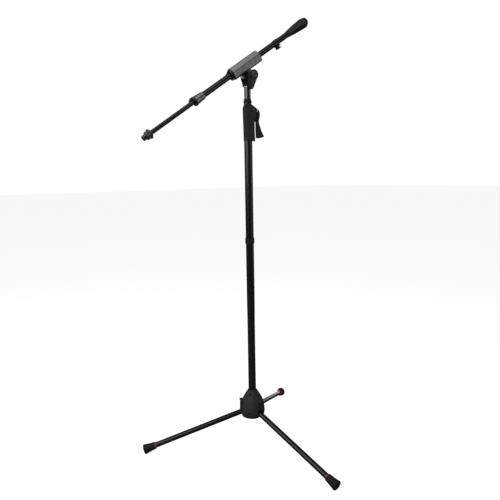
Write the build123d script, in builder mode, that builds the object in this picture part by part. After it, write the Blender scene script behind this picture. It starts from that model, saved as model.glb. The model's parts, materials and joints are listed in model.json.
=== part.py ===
from build123d import *

import os
from math import cos, radians, sin, tan

# Boom microphone stand. Millimetres and degrees, +Z up, origin on the floor under the mast.
# The boom lies in the XZ plane with its microphone end towards -X.

# ------------------------------------------------------------------ fits
RUNNING = 0.06  # radial gap of a shaft that turns or slides in a bush
FREE = 0.35  # gap between pieces that pass each other
STOP_GAP = 0.3  # gap at a rest that carries no clamping load

# ------------------------------------------------------------------ tripod
LEG_AZIMUTHS = {"a": 36.0, "b": 156.0, "c": 276.0}
LEG_SLOPE = 16.6  # below the horizontal, legs open
LEG_TUBE_OD = 17.3
LEG_TUBE_WALL = 1.4
LEG_LENGTH = 349.0  # hinge pin to the end of the foot
KNUCKLE_RADIUS = LEG_TUBE_OD / 2 + 0.85
KNUCKLE_PLUG = 30.0  # how far the hinge plug reaches into the tube
LEG_PIN_OD = 6.0
LEG_PIN_LENGTH = 60.0
PIN_HOLE_GROWTH = 1.5  # the hub's holes widen past the pins' ends
FOOT_LENGTH = 37.0
FOOT_RADIUS = LEG_TUBE_OD / 2 + 6.95
FOOT_NECK_RADIUS = LEG_TUBE_OD / 2 + 2.55
FOOT_EDGE = 3.5  # rounding of the rim that stands on the floor
FOOT_FLAT = 0.8  # depth of the flat where the rim stands
FOOT_CROWN = 1.5  # bulge of the foot's end
FOOT_RING_WIDTH = 2.6
FOOT_RING_RADIUS = LEG_TUBE_OD / 2 + 1.95

# ------------------------------------------------------------------ mast
UPPER_TUBE_OD = 19.5
UPPER_TUBE_WALL = 1.3
UPPER_TUBE_LENGTH = 813.0
LOWER_TUBE_WALL = 1.5
LOWER_TUBE_OD = UPPER_TUBE_OD + 2 * (1.25 + LOWER_TUBE_WALL)
GLIDE_LENGTH = 30.0
PLUG_FLANGE_THICKNESS = 5.5
PLUG_SPIGOT = 28.0
MAST_CLIP_HEIGHT = 678.0

# ------------------------------------------------------------------ hub
LEG_PIN_OFFSET = LOWER_TUBE_OD / 2 + 2.0 + KNUCKLE_RADIUS  # hinge pin from the mast axis
PLUG_FLANGE_RADIUS = LEG_PIN_OFFSET + 10.0
HUB_WAIST_RADIUS = LEG_PIN_OFFSET + 16.5
HUB_FOOT_RADIUS = LEG_PIN_OFFSET + 13.0
HUB_SEAM_RADIUS = LOWER_TUBE_OD / 2 + 13.5
HUB_TOP_RADIUS = LOWER_TUBE_OD / 2 + 2.5
HUB_BODY_HEIGHT = 68.0  # bottom rim to the seam
HUB_CAP_HEIGHT = 19.0
BRACKET_REACH = LEG_PIN_OFFSET + 18.0
BRACKET_WIDTH = LEG_TUBE_OD + 9.7
BRACKET_TOP = 54.0  # flat top above the bottom rim
HUB_BUSH_WALL = 2.2
HUB_BUSH_LENGTH = 34.0

# ------------------------------------------------------------------ height clutch (grip)
GRIP_BOTTOM = 985.0
GRIP_HEIGHT = 108.0
GRIP_AZIMUTH = -35.0  # the side that carries the trigger
GRIP_WIDTH = LOWER_TUBE_OD + 5.0
GRIP_BACK = LOWER_TUBE_OD / 2 + 3.0  # back of the grip behind the mast axis
GRIP_FRONT = LOWER_TUBE_OD / 2 + 8.0  # front edge of the side walls
GRIP_NOSE = GRIP_FRONT + 8.0  # front of the shoulder round the trigger pin
TRIGGER_WIDTH = 18.0
TRIGGER_PIN_OD = 4.0
TRIGGER_PIN_REACH = GRIP_FRONT + 4.5  # trigger pin in front of the mast axis
TRIGGER_PIN_HEIGHT = 79.0  # above the grip's bottom
PLATE_THICKNESS = 3.0
PLATE_GAP = 1.2
NECK_RADIUS = UPPER_TUBE_OD / 2 + 1.55

# ------------------------------------------------------------------ swivel
TUBE_ABOVE_GRIP = 50.0  # upper tube's end above the grip
PIVOT_ABOVE_TUBE = 32.0  # tilt pivot above the upper tube's end
FORK_WIDTH = 34.0
FORK_GAP = 17.0
FORK_EAR_RADIUS = 12.7
WASHER_THICKNESS = 2.2
TILT_BOLT_OD = 8.0
LEVER_THICKNESS = 19.0
LEVER_BOSS_RADIUS = 14.0
LEVER_TAIL = 43.0
LEVER_LEAN = 11.0
THREAD_OD = 15.875  # 5/8 inch
THREAD_DEPTH = 0.5

# ------------------------------------------------------------------ boom
BOOM_SLOPE = 33.9  # microphone end below the horizontal
INNER_TUBE_OD = 12.7
INNER_TUBE_WALL = 1.0
BOOM_TUBE_WALL = 1.2
BOOM_TUBE_OD = INNER_TUBE_OD + 2 * (1.2 + BOOM_TUBE_WALL)
INNER_TUBE_OVERLAP = 246.0  # inner tube hidden behind the lock sleeve's front
BLOCK_FRONT = 47.5
BLOCK_REAR = 66.5
BLOCK_WIDTH = BOOM_TUBE_OD + 14.5
BLOCK_HEIGHT = BOOM_TUBE_OD + 16.5
BLOCK_TOP_CHAMFER = 10.5
BLOCK_LOW_CHAMFER = 4.5
GROOVE_WIDTH = 1.3  # groove between the top chamfer and the side
GROOVE_DEPTH = 1.0
LUG_THICKNESS = 14.0
LUG_RADIUS = 12.0
BOOM_OFFSET = BLOCK_HEIGHT / 2 + LUG_RADIUS + 1.5  # boom axis from the tilt pivot
SLEEVE_REAR = 164.5
SLEEVE_LENGTH = 32.5
LOCK_RING_WIDTH = 5.5
LOCK_RING_RADIUS = BOOM_TUBE_OD / 2 + 5.25
TIP_FLANGE = 366.0  # lock nut flange along the boom
TIP_THREAD = 25.0
COUNTERWEIGHT_FRONT = 209.0
COUNTERWEIGHT_LENGTH = 90.0
BOOM_CLIP_PLACE = 150.0
KNOB_RADIUS = 10.0

# ------------------------------------------------------------------ small parts
SCREW_R = 1.5
SCREW_HEAD_R = 2.7
SCREW_LENGTH = 20.0
FRICTION_RING_WIDTH = 3.0
GRIP_WALL = 3.0
GRIP_WEB = 6.0  # floor that closes the trigger's channel
TRIGGER_PIN_LENGTH = 27.0
FIN_RADIUS = NECK_RADIUS + 3.0
SPRING_WIRE = 1.2
STUD_PLUG = 25.0
TILT_WASHER = 1.5
LEVER_CAP_RADIUS = 9.0
CLAMP_BUSH_WALL = 1.7
CLAMP_KNOB_PLACE = 36.0  # along the boom from the tilt pivot
KNOB_SCREW_R = 2.5
KNOB_LOBES = 6
LOCK_BOSS_R = 5.5
LOCK_BOSS_REACH = BOOM_TUBE_OD / 2 + 8.25
SLUG_R = BOOM_TUBE_OD / 2 + 2.25
LOCK_NUT_FLANGE_R = 14.6
LOCK_NUT_R = 12.0
LOCK_NUT_LENGTH = 13.5
CLIP_WALL = 1.8
CLIP_LENGTH = 18.0
CABLE_R = 3.6
CLIP_MOUTH = 4.6

# ------------------------------------------------------------------ worked out
LEG_TILT = radians(LEG_SLOPE)
LOWER_R = LOWER_TUBE_OD / 2
LOWER_BORE_R = LOWER_R - LOWER_TUBE_WALL
UPPER_R = UPPER_TUBE_OD / 2
UPPER_BORE_R = UPPER_R - UPPER_TUBE_WALL
LEG_R = LEG_TUBE_OD / 2
LEG_BORE_R = LEG_R - LEG_TUBE_WALL
PIN_R = LEG_PIN_OD / 2
BOOM_R = BOOM_TUBE_OD / 2
BOOM_BORE_R = BOOM_R - BOOM_TUBE_WALL
INNER_R = INNER_TUBE_OD / 2
THREAD_R = THREAD_OD / 2
TILT_BOLT_R = TILT_BOLT_OD / 2

RIM_ALONG = LEG_LENGTH - FOOT_EDGE
LEG_PIN_HEIGHT = (
    RIM_ALONG * sin(LEG_TILT)
    + (FOOT_RADIUS - FOOT_EDGE) * cos(LEG_TILT)
    + FOOT_EDGE
    - FOOT_FLAT
)
# Height of the open legs' underside over the flange's rim, where the legs come to rest.
FLANGE_TOP = (
    LEG_PIN_HEIGHT
    - (PLUG_FLANGE_RADIUS - LEG_PIN_OFFSET) * tan(LEG_TILT)
    - LEG_R / cos(LEG_TILT)
    - STOP_GAP
)
HUB_BOTTOM = FLANGE_TOP - PLUG_FLANGE_THICKNESS + 0.5
HUB_SEAM = HUB_BOTTOM + HUB_BODY_HEIGHT
HUB_TOP = HUB_SEAM + HUB_CAP_HEIGHT
SLOT_TOP = LEG_PIN_HEIGHT + KNUCKLE_RADIUS + 0.8
LOWER_TUBE_TOP = GRIP_BOTTOM + 35.0
GRIP_TOP = GRIP_BOTTOM + GRIP_HEIGHT
UPPER_TUBE_TOP = GRIP_TOP + TUBE_ABOVE_GRIP
CLUTCH_BASE_TOP = LOWER_TUBE_TOP + 22.0
CLUTCH_HEAD_BOTTOM = GRIP_TOP - 22.0
PLATES_BOTTOM = CLUTCH_BASE_TOP + 6.0
PLATES_TOP = PLATES_BOTTOM + 2 * PLATE_THICKNESS + PLATE_GAP
NECK_TOP = GRIP_TOP + 7.0
PIVOT_HEIGHT = UPPER_TUBE_TOP + PIVOT_ABOVE_TUBE
SOCKET_BOTTOM = UPPER_TUBE_TOP + WASHER_THICKNESS
FORK_FLOOR = PIVOT_HEIGHT - LUG_RADIUS - 3.0

os.makedirs("parts", exist_ok=True)


def save(part, name):
    """Label a finished piece and write its file."""
    part.label = name
    export_step(part, f"parts/{name}.step")


def leg_plane(azimuth):
    """Plane at a leg's hinge pin: x out along the open leg, y over it, z along the pin."""
    turn = radians(azimuth)
    out = Vector(cos(turn), sin(turn), 0)
    run = out * cos(LEG_TILT) - Vector(0, 0, sin(LEG_TILT))
    pin = out * LEG_PIN_OFFSET + Vector(0, 0, LEG_PIN_HEIGHT)
    return Plane(pin, x_dir=run, z_dir=(sin(turn), -cos(turn), 0))


def upright_plane(azimuth, height=0.0):
    """Plane through the mast axis: x outwards at this azimuth, y up."""
    turn = radians(azimuth)
    return Plane((0, 0, height), x_dir=(cos(turn), sin(turn), 0), z_dir=(sin(turn), -cos(turn), 0))


def across(plane, distance):
    """Plane square to plane's x direction at this distance, with its own z along that direction."""
    return Plane(plane.origin + plane.x_dir * distance, x_dir=-plane.z_dir, z_dir=plane.x_dir)


def turned(name, plane, outline):
    """Piece turned about the plane's x direction, from (along, radius) points."""
    with BuildPart() as piece:
        with BuildSketch(plane):
            with BuildLine():
                Polyline(*outline, close=True)
            make_face()
        revolve(axis=Axis(plane.origin, plane.x_dir))
    save(piece.part, name)


# Section planes: the mast's own axis, and the boom's, which runs square over the tilt pivot.
MAST = Plane((0, 0, 0), x_dir=(0, 0, 1), z_dir=(0, 1, 0))
slope = radians(BOOM_SLOPE)
boom_run = Vector(-cos(slope), 0, -sin(slope))
boom_over = Vector(-sin(slope), 0, cos(slope))
PIVOT = Plane((0, 0, PIVOT_HEIGHT), x_dir=boom_run, z_dir=(0, 1, 0))
BOOM = Plane(PIVOT.origin + boom_over * BOOM_OFFSET, x_dir=boom_run, z_dir=(0, 1, 0))
GRIP = upright_plane(GRIP_AZIMUTH)


# ------------------------------------------------------------------ legs
def make_leg(letter, azimuth):
    """One leg: hinge knuckle, tube, trim ring and rubber foot."""
    plane = leg_plane(azimuth)
    tube_start = KNUCKLE_RADIUS + 1.5
    foot_start = LEG_LENGTH - FOOT_LENGTH
    tube_end = foot_start + FOOT_LENGTH * 0.7
    ring_start = foot_start - FOOT_RING_WIDTH

    with BuildPart() as knuckle:
        with BuildSketch(across(plane, 0)):
            Circle(LEG_BORE_R)
        extrude(amount=tube_start + KNUCKLE_PLUG)
        with BuildSketch(across(plane, 0)):
            Circle(KNUCKLE_RADIUS - 1)
        extrude(amount=tube_start)
        with BuildSketch(plane):
            Circle(KNUCKLE_RADIUS)
        extrude(amount=LEG_R, both=True)
        with BuildSketch(plane):
            Circle(PIN_R + RUNNING)
        extrude(amount=LEG_TUBE_OD, both=True, mode=Mode.SUBTRACT)
    save(knuckle.part, f"leg_{letter}_knuckle")

    with BuildPart() as tube:
        with BuildSketch(across(plane, tube_start)):
            Circle(LEG_R)
            Circle(LEG_BORE_R, mode=Mode.SUBTRACT)
        extrude(amount=tube_end - tube_start)
    save(tube.part, f"leg_{letter}_tube")

    turned(
        f"leg_{letter}_ring",
        plane,
        [
            (ring_start, LEG_R),
            (ring_start, FOOT_RING_RADIUS - 0.5),
            (ring_start + 0.5, FOOT_RING_RADIUS),
            (foot_start, FOOT_RING_RADIUS),
            (foot_start, LEG_R),
        ],
    )

    with BuildPart() as foot:
        with BuildSketch(plane):
            with BuildLine():
                neck = (foot_start, FOOT_NECK_RADIUS)
                rim = (RIM_ALONG, FOOT_RADIUS)
                edge = (LEG_LENGTH, FOOT_RADIUS - FOOT_EDGE)
                middle = (LEG_LENGTH + FOOT_CROWN, 0)
                waist = ((neck[0] + rim[0]) / 2, (neck[1] + rim[1]) / 2 - 0.6)
                Polyline(middle, (tube_end, 0), (tube_end, LEG_R), (foot_start, LEG_R), neck)
                ThreePointArc(neck, waist, rim)
                TangentArc(rim, edge, tangent=(1, 0))
                TangentArc(middle, edge, tangent=(0, 1))
            make_face()
        revolve(axis=Axis(plane.origin, plane.x_dir))
        split(bisect_by=Plane.XY, keep=Keep.TOP)
    save(foot.part, f"leg_{letter}_foot")


for letter, azimuth in LEG_AZIMUTHS.items():
    make_leg(letter, azimuth)

# ------------------------------------------------------------------ hub
leg_planes = [leg_plane(azimuth) for azimuth in LEG_AZIMUTHS.values()]
slot_width = LEG_TUBE_OD + 2 * FREE
bush_bottom = SLOT_TOP + 3.0
bush_r = LOWER_R + RUNNING + HUB_BUSH_WALL
screw_offset = (HUB_SEAM_RADIUS + bush_r) / 2 + 0.6
screw_start = LEG_AZIMUTHS["a"] + 60.0

with BuildPart() as hub_body:
    with BuildSketch(Plane.XZ):
        with BuildLine():
            Polyline(
                (0, HUB_BOTTOM),
                (HUB_FOOT_RADIUS, HUB_BOTTOM),
                (HUB_WAIST_RADIUS - 1.1, HUB_BOTTOM + 0.1 * HUB_BODY_HEIGHT),
                (HUB_WAIST_RADIUS, HUB_BOTTOM + 0.27 * HUB_BODY_HEIGHT),
                (HUB_WAIST_RADIUS - 1.2, HUB_BOTTOM + 0.48 * HUB_BODY_HEIGHT),
                (HUB_WAIST_RADIUS - 4.5, HUB_BOTTOM + 0.68 * HUB_BODY_HEIGHT),
                ((HUB_WAIST_RADIUS + HUB_SEAM_RADIUS) / 2 - 1.2, HUB_BOTTOM + 0.85 * HUB_BODY_HEIGHT),
                (HUB_SEAM_RADIUS, HUB_SEAM),
                (0, HUB_SEAM),
                close=True,
            )
        make_face()
    revolve(axis=Axis.Z)
    for azimuth in LEG_AZIMUTHS.values():
        with BuildSketch(upright_plane(azimuth)):
            with BuildLine():
                low = HUB_BOTTOM + 3
                high = HUB_BOTTOM + BRACKET_TOP
                Polyline(
                    (LOWER_R, low),
                    (BRACKET_REACH - 6, low),
                    (BRACKET_REACH - 1, low + 9),
                    (BRACKET_REACH - 2, high - 4),
                    (BRACKET_REACH, high - 3),
                    (BRACKET_REACH, high),
                    (LOWER_R, high),
                    close=True,
                )
            make_face()
        extrude(amount=BRACKET_WIDTH / 2, both=True)
    # the mast's bore, the bush's seat and the recess of the plug's flange
    with BuildSketch(Plane.XY):
        Circle(LOWER_R + FREE)
    extrude(amount=HUB_TOP, mode=Mode.SUBTRACT)
    with BuildSketch(Plane.XY.offset(bush_bottom)):
        Circle(bush_r)
    extrude(amount=HUB_BODY_HEIGHT, mode=Mode.SUBTRACT)
    with BuildSketch(Plane.XY.offset(FLANGE_TOP + STOP_GAP)):
        Circle(PLUG_FLANGE_RADIUS + FREE)
    extrude(amount=-2 * PLUG_FLANGE_THICKNESS, mode=Mode.SUBTRACT)
    # slots in which the legs swing down
    for azimuth in LEG_AZIMUTHS.values():
        with BuildSketch(upright_plane(azimuth)):
            with BuildLine():
                inner = LEG_PIN_OFFSET - KNUCKLE_RADIUS - 0.7
                Polyline(
                    (inner, HUB_BOTTOM - 5),
                    (2 * BRACKET_REACH, HUB_BOTTOM - 5),
                    (2 * BRACKET_REACH, SLOT_TOP - 4),
                    (LEG_PIN_OFFSET + KNUCKLE_RADIUS, SLOT_TOP),
                    (inner, SLOT_TOP),
                    close=True,
                )
            make_face()
        extrude(amount=slot_width / 2, both=True, mode=Mode.SUBTRACT)
    # hinge pin holes, opened out past the pins' ends
    for plane in leg_planes:
        with BuildSketch(plane):
            Circle(PIN_R)
        extrude(amount=LEG_PIN_LENGTH / 2, both=True, mode=Mode.SUBTRACT)
        for side in (1, -1):
            pin_end = plane.origin + plane.z_dir * (side * LEG_PIN_LENGTH / 2)
            with BuildSketch(Plane(pin_end, z_dir=plane.z_dir * side)):
                Circle(PIN_R + PIN_HOLE_GROWTH)
            extrude(amount=LEG_PIN_LENGTH / 2, mode=Mode.SUBTRACT)
    # pilot holes of the cap's screws
    with BuildSketch(Plane.XY.offset(HUB_SEAM)):
        with PolarLocations(screw_offset, 3, start_angle=screw_start):
            Circle(SCREW_R)
    extrude(amount=-14, mode=Mode.SUBTRACT)
save(hub_body.part, "hub_body")

with BuildPart() as leg_pins:
    for plane in leg_planes:
        with BuildSketch(plane):
            Circle(PIN_R)
        extrude(amount=LEG_PIN_LENGTH / 2, both=True)
save(leg_pins.part, "leg_pins")

ring_groove_r = LOWER_R + FRICTION_RING_WIDTH + 1.0
with BuildPart() as hub_cap:
    with BuildSketch(Plane.XZ):
        with BuildLine():
            middle_r = (HUB_SEAM_RADIUS + HUB_TOP_RADIUS) / 2
            Polyline(
                (HUB_SEAM_RADIUS - 0.7, HUB_SEAM),
                (ring_groove_r, HUB_SEAM),
                (ring_groove_r, HUB_SEAM + 6),
                (LOWER_R + FREE, HUB_SEAM + 6),
                (LOWER_R + FREE, HUB_TOP),
                (HUB_TOP_RADIUS - 1, HUB_TOP),
                (HUB_TOP_RADIUS, HUB_TOP - 1),
                (middle_r - 2.2, HUB_SEAM + 0.68 * HUB_CAP_HEIGHT),
                (middle_r + 2.2, HUB_SEAM + 0.34 * HUB_CAP_HEIGHT),
                close=True,
            )
        make_face()
    revolve(axis=Axis.Z)
    with BuildSketch(Plane.XY.offset(HUB_SEAM + 3.5)):
        with PolarLocations(screw_offset, 3, start_angle=screw_start):
            Circle(SCREW_HEAD_R + 0.3)
    extrude(amount=HUB_CAP_HEIGHT, mode=Mode.SUBTRACT)
    with BuildSketch(Plane.XY.offset(HUB_SEAM)):
        with PolarLocations(screw_offset, 3, start_angle=screw_start):
            Circle(SCREW_R)
    extrude(amount=HUB_CAP_HEIGHT, mode=Mode.SUBTRACT)
save(hub_cap.part, "hub_cap")

with BuildPart() as hub_screws:
    with BuildSketch(Plane.XY.offset(HUB_SEAM + 3.5)):
        with PolarLocations(screw_offset, 3, start_angle=screw_start):
            Circle(SCREW_HEAD_R)
    extrude(amount=2)
    with BuildSketch(Plane.XY.offset(HUB_SEAM + 3.5)):
        with PolarLocations(screw_offset, 3, start_angle=screw_start):
            Circle(SCREW_R)
    extrude(amount=-16)
save(hub_screws.part, "hub_screws")

turned(
    "hub_bush",
    MAST,
    [
        (bush_bottom, LOWER_R + RUNNING),
        (bush_bottom, bush_r),
        (bush_bottom + HUB_BUSH_LENGTH, bush_r),
        (bush_bottom + HUB_BUSH_LENGTH, LOWER_R + RUNNING),
    ],
)

with BuildPart() as friction_ring:
    with BuildSketch(Plane.XY.offset(HUB_SEAM + 0.6)):
        Circle(LOWER_R + RUNNING + FRICTION_RING_WIDTH)
        Circle(LOWER_R + RUNNING, mode=Mode.SUBTRACT)
        with Locations((LOWER_R, 0)):
            Rectangle(2 * FRICTION_RING_WIDTH + 2, 3, mode=Mode.SUBTRACT)
    extrude(amount=4.8)
save(friction_ring.part, "friction_ring")

# ------------------------------------------------------------------ lower mast
with BuildPart() as mast_plug:
    with BuildSketch(Plane.XY.offset(FLANGE_TOP)):
        Circle(PLUG_FLANGE_RADIUS)
    extrude(amount=-PLUG_FLANGE_THICKNESS)
    chamfer(mast_plug.edges().filter_by(GeomType.CIRCLE), length=0.8)
    with BuildSketch(Plane.XY.offset(FLANGE_TOP)):
        Circle(LOWER_BORE_R)
    extrude(amount=PLUG_SPIGOT)
    with BuildSketch(Plane.XY.offset(FLANGE_TOP - PLUG_FLANGE_THICKNESS)):
        Circle(PLUG_FLANGE_RADIUS - 3)
        Circle(LOWER_R, mode=Mode.SUBTRACT)
        with PolarLocations(PLUG_FLANGE_RADIUS / 2, 6):
            Rectangle(PLUG_FLANGE_RADIUS, 2.5, mode=Mode.SUBTRACT)
    extrude(amount=PLUG_FLANGE_THICKNESS / 2, mode=Mode.SUBTRACT)
save(mast_plug.part, "mast_plug")

with BuildPart() as lower_tube:
    with BuildSketch(Plane.XY.offset(FLANGE_TOP)):
        Circle(LOWER_R)
        Circle(LOWER_BORE_R, mode=Mode.SUBTRACT)
    extrude(amount=LOWER_TUBE_TOP - FLANGE_TOP)
save(lower_tube.part, "lower_tube")


def make_cable_clip(name, plane, tube_r, channel_angle):
    """Split ring snapped on a tube, with an open channel for a cable beside it."""
    turn = radians(channel_angle)
    reach = tube_r + CLIP_WALL + CABLE_R + CLIP_WALL * 0.6
    centre = (reach * cos(turn), reach * sin(turn))
    mouth = channel_angle + 65
    with BuildPart() as clip:
        with BuildSketch(plane):
            Circle(tube_r + RUNNING + CLIP_WALL)
            with Locations(centre):
                Circle(CABLE_R + CLIP_WALL)
            Circle(tube_r + RUNNING, mode=Mode.SUBTRACT)
            with Locations(centre):
                Circle(CABLE_R, mode=Mode.SUBTRACT)
            with Locations(Location(centre, mouth)):
                with Locations((CABLE_R, 0)):
                    Rectangle(2 * CABLE_R + 2 * CLIP_WALL, CLIP_MOUTH, mode=Mode.SUBTRACT)
            with Locations(Location((0, 0), channel_angle + 180)):
                with Locations((tube_r, 0)):
                    Rectangle(tube_r, 1.25 * tube_r, mode=Mode.SUBTRACT)
        extrude(amount=CLIP_LENGTH / 2, both=True)
    save(clip.part, name)


make_cable_clip("mast_clip", Plane.XY.offset(MAST_CLIP_HEIGHT), LOWER_R, GRIP_AZIMUTH - 70)

# ------------------------------------------------------------------ height clutch
turned(
    "clutch_base",
    MAST,
    [
        (LOWER_TUBE_TOP - 8, UPPER_R + RUNNING),
        (LOWER_TUBE_TOP - 8, LOWER_BORE_R),
        (LOWER_TUBE_TOP, LOWER_BORE_R),
        (LOWER_TUBE_TOP, LOWER_R),
        (CLUTCH_BASE_TOP, LOWER_R),
        (CLUTCH_BASE_TOP, UPPER_R + RUNNING),
    ],
)
turned(
    "clutch_head",
    MAST,
    [
        (CLUTCH_HEAD_BOTTOM, UPPER_R + RUNNING),
        (CLUTCH_HEAD_BOTTOM, LOWER_R),
        (GRIP_TOP - GRIP_WALL, LOWER_R),
        (GRIP_TOP - GRIP_WALL, NECK_RADIUS),
        (NECK_TOP - 1, NECK_RADIUS),
        (NECK_TOP, NECK_RADIUS - 0.8),
        (NECK_TOP, UPPER_R + RUNNING),
    ],
)
turned(
    "wiper_seal",
    MAST,
    [
        (NECK_TOP, UPPER_R + RUNNING),
        (NECK_TOP, FIN_RADIUS),
        (NECK_TOP + 1.6, FIN_RADIUS - 0.4),
        (NECK_TOP + 2.2, NECK_RADIUS),
        (NECK_TOP + 7.4, NECK_RADIUS - 0.4),
        (NECK_TOP + 7.6, FIN_RADIUS - 2.2),
        (NECK_TOP + 8.8, FIN_RADIUS - 2.6),
        (NECK_TOP + 9.4, UPPER_R + 0.9),
        (NECK_TOP + 9.4, UPPER_R + RUNNING),
    ],
)

pin_up = TRIGGER_PIN_HEIGHT
plates_up = PLATES_BOTTOM - GRIP_BOTTOM
grip_side = upright_plane(GRIP_AZIMUTH, GRIP_BOTTOM)
screw_spots = [(TRIGGER_PIN_REACH - 6, pin_up + 14), (GRIP_FRONT - 3.3, 3)]
cavity_half = TRIGGER_WIDTH / 2 + FREE + 0.4


def make_grip_shell(name, kept):
    """Half of the grip's casing: the outline of the side, rounded as seen from above."""
    with BuildPart() as shell:
        with BuildSketch(grip_side):
            with BuildLine():
                FilletPolyline(
                    (-GRIP_BACK + 1.9, 0),
                    (GRIP_FRONT + 1, 0),
                    (GRIP_FRONT, 0.27 * GRIP_HEIGHT),
                    (GRIP_FRONT, 0.54 * GRIP_HEIGHT),
                    (GRIP_NOSE, pin_up - 7),
                    (GRIP_NOSE, pin_up + 15),
                    (LOWER_R + 1, GRIP_HEIGHT - 2),
                    (LOWER_R - 3, GRIP_HEIGHT),
                    (-LOWER_R + 1, GRIP_HEIGHT),
                    (-GRIP_BACK, GRIP_HEIGHT - 12),
                    radius=[0.8, 0.8, 9, 9, 6, 5, 3, 2, 3, 4],
                    close=True,
                )
            make_face()
        extrude(amount=GRIP_WIDTH / 2, both=True)
        with BuildSketch(Plane(grip_side.origin, x_dir=grip_side.x_dir, z_dir=(0, 0, 1))) as plan:
            with Locations((GRIP_WIDTH / 2 - GRIP_BACK, 0)):
                Circle(GRIP_WIDTH / 2)
            with Locations(((GRIP_NOSE + GRIP_WIDTH / 2 - GRIP_BACK) / 2, 0)):
                Rectangle(GRIP_NOSE + GRIP_BACK - GRIP_WIDTH / 2, GRIP_WIDTH)
            fillet(plan.vertices().group_by(Axis((0, 0, 0), grip_side.x_dir))[-1], radius=4)
        extrude(amount=GRIP_HEIGHT, mode=Mode.INTERSECT)
        # room for the lower tube and the clutch, with a wall over the clutch head
        with BuildSketch(Plane.XY.offset(GRIP_BOTTOM)):
            Circle(LOWER_R)
        extrude(amount=GRIP_HEIGHT - GRIP_WALL, mode=Mode.SUBTRACT)
        with BuildSketch(Plane.XY.offset(GRIP_BOTTOM)):
            Circle(NECK_RADIUS)
        extrude(amount=GRIP_HEIGHT, mode=Mode.SUBTRACT)
        # the trigger's channel, open at the front
        with BuildSketch(grip_side):
            with BuildLine():
                Polyline(
                    (0, GRIP_WEB),
                    (2 * GRIP_NOSE, GRIP_WEB),
                    (2 * GRIP_NOSE, pin_up + 8.5),
                    (0, pin_up + 8.5),
                    close=True,
                )
            make_face()
        extrude(amount=cavity_half, both=True, mode=Mode.SUBTRACT)
        with BuildSketch(grip_side):
            with Locations((TRIGGER_PIN_REACH, pin_up)):
                Circle(TRIGGER_PIN_OD / 2)
        extrude(amount=TRIGGER_PIN_LENGTH / 2, both=True, mode=Mode.SUBTRACT)
        with BuildSketch(grip_side.offset(GRIP_WIDTH / 2)):
            with Locations(*screw_spots):
                Circle(SCREW_R)
        extrude(amount=-SCREW_LENGTH - 3, mode=Mode.SUBTRACT)
        with BuildSketch(grip_side.offset(GRIP_WIDTH / 2)):
            with Locations(*screw_spots):
                Circle(SCREW_HEAD_R)
        extrude(amount=-3, mode=Mode.SUBTRACT)
        split(bisect_by=grip_side, keep=kept)
    save(shell.part, name)


make_grip_shell("grip_shell_left", Keep.TOP)
make_grip_shell("grip_shell_right", Keep.BOTTOM)

with BuildPart() as grip_screws:
    with BuildSketch(grip_side.offset(GRIP_WIDTH / 2 - 3)):
        with Locations(*screw_spots):
            Circle(SCREW_R)
    extrude(amount=-SCREW_LENGTH)
    with BuildSketch(grip_side.offset(GRIP_WIDTH / 2 - 3)):
        with Locations(*screw_spots):
            Circle(SCREW_HEAD_R)
    extrude(amount=2.2)
save(grip_screws.part, "grip_screws")

with BuildPart() as trigger_pin:
    with BuildSketch(grip_side):
        with Locations((TRIGGER_PIN_REACH, pin_up)):
            Circle(TRIGGER_PIN_OD / 2)
    extrude(amount=TRIGGER_PIN_LENGTH / 2, both=True)
save(trigger_pin.part, "trigger_pin")

with BuildPart() as trigger:
    with BuildSketch(grip_side):
        with BuildLine():
            toe = (GRIP_FRONT + 28, 14)
            crest = (GRIP_NOSE + 0.9, pin_up + 15)
            Polyline(
                crest,
                (GRIP_NOSE + 0.9, pin_up + 6.4),
                (TRIGGER_PIN_REACH, pin_up + 6),
                (TRIGGER_PIN_REACH - 5.4, pin_up + 2),
                (TRIGGER_PIN_REACH - 5.4, pin_up - 2.5),
                (GRIP_FRONT + 2, plates_up + 7.5),
                (GRIP_FRONT + 2, 0.28 * GRIP_HEIGHT),
                (GRIP_FRONT + 3, 9),
                (GRIP_FRONT + 13, 8.5),
                (GRIP_FRONT + 27, 12),
                toe,
            )
            Spline(
                toe,
                (GRIP_FRONT + 17.8, 37.4),
                (GRIP_FRONT + 13.2, 60),
                (GRIP_FRONT + 16.2, 76),
                crest,
                tangents=[(-0.75, 1), (-1, 0.5)],
            )
        make_face()
    extrude(amount=TRIGGER_WIDTH / 2, both=True)
    # hollow behind the finger face
    with BuildSketch(grip_side):
        with BuildLine():
            Polyline(
                (GRIP_FRONT - 5, 12),
                (GRIP_FRONT + 20.5, 15),
                (GRIP_FRONT + 14.5, 37),
                (GRIP_FRONT + 10.5, 54),
                (GRIP_FRONT - 5, 54),
                close=True,
            )
        make_face()
    extrude(amount=TRIGGER_WIDTH / 2 - 2.5, both=True, mode=Mode.SUBTRACT)
    # finger that lifts the clutch plates
    with BuildSketch(grip_side):
        with BuildLine():
            Polyline(
                (GRIP_FRONT + 4, plates_up - 6.5),
                (GRIP_FRONT - 3.5, plates_up - 3),
                (GRIP_FRONT - 5, plates_up - 0.5),
                (GRIP_FRONT + 4, plates_up - 0.5),
                close=True,
            )
        make_face()
    extrude(amount=5, both=True)
    with BuildSketch(grip_side):
        with Locations((TRIGGER_PIN_REACH, pin_up)):
            Circle(TRIGGER_PIN_OD / 2 + RUNNING)
    extrude(amount=TRIGGER_WIDTH, both=True, mode=Mode.SUBTRACT)
save(trigger.part, "trigger")

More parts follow.
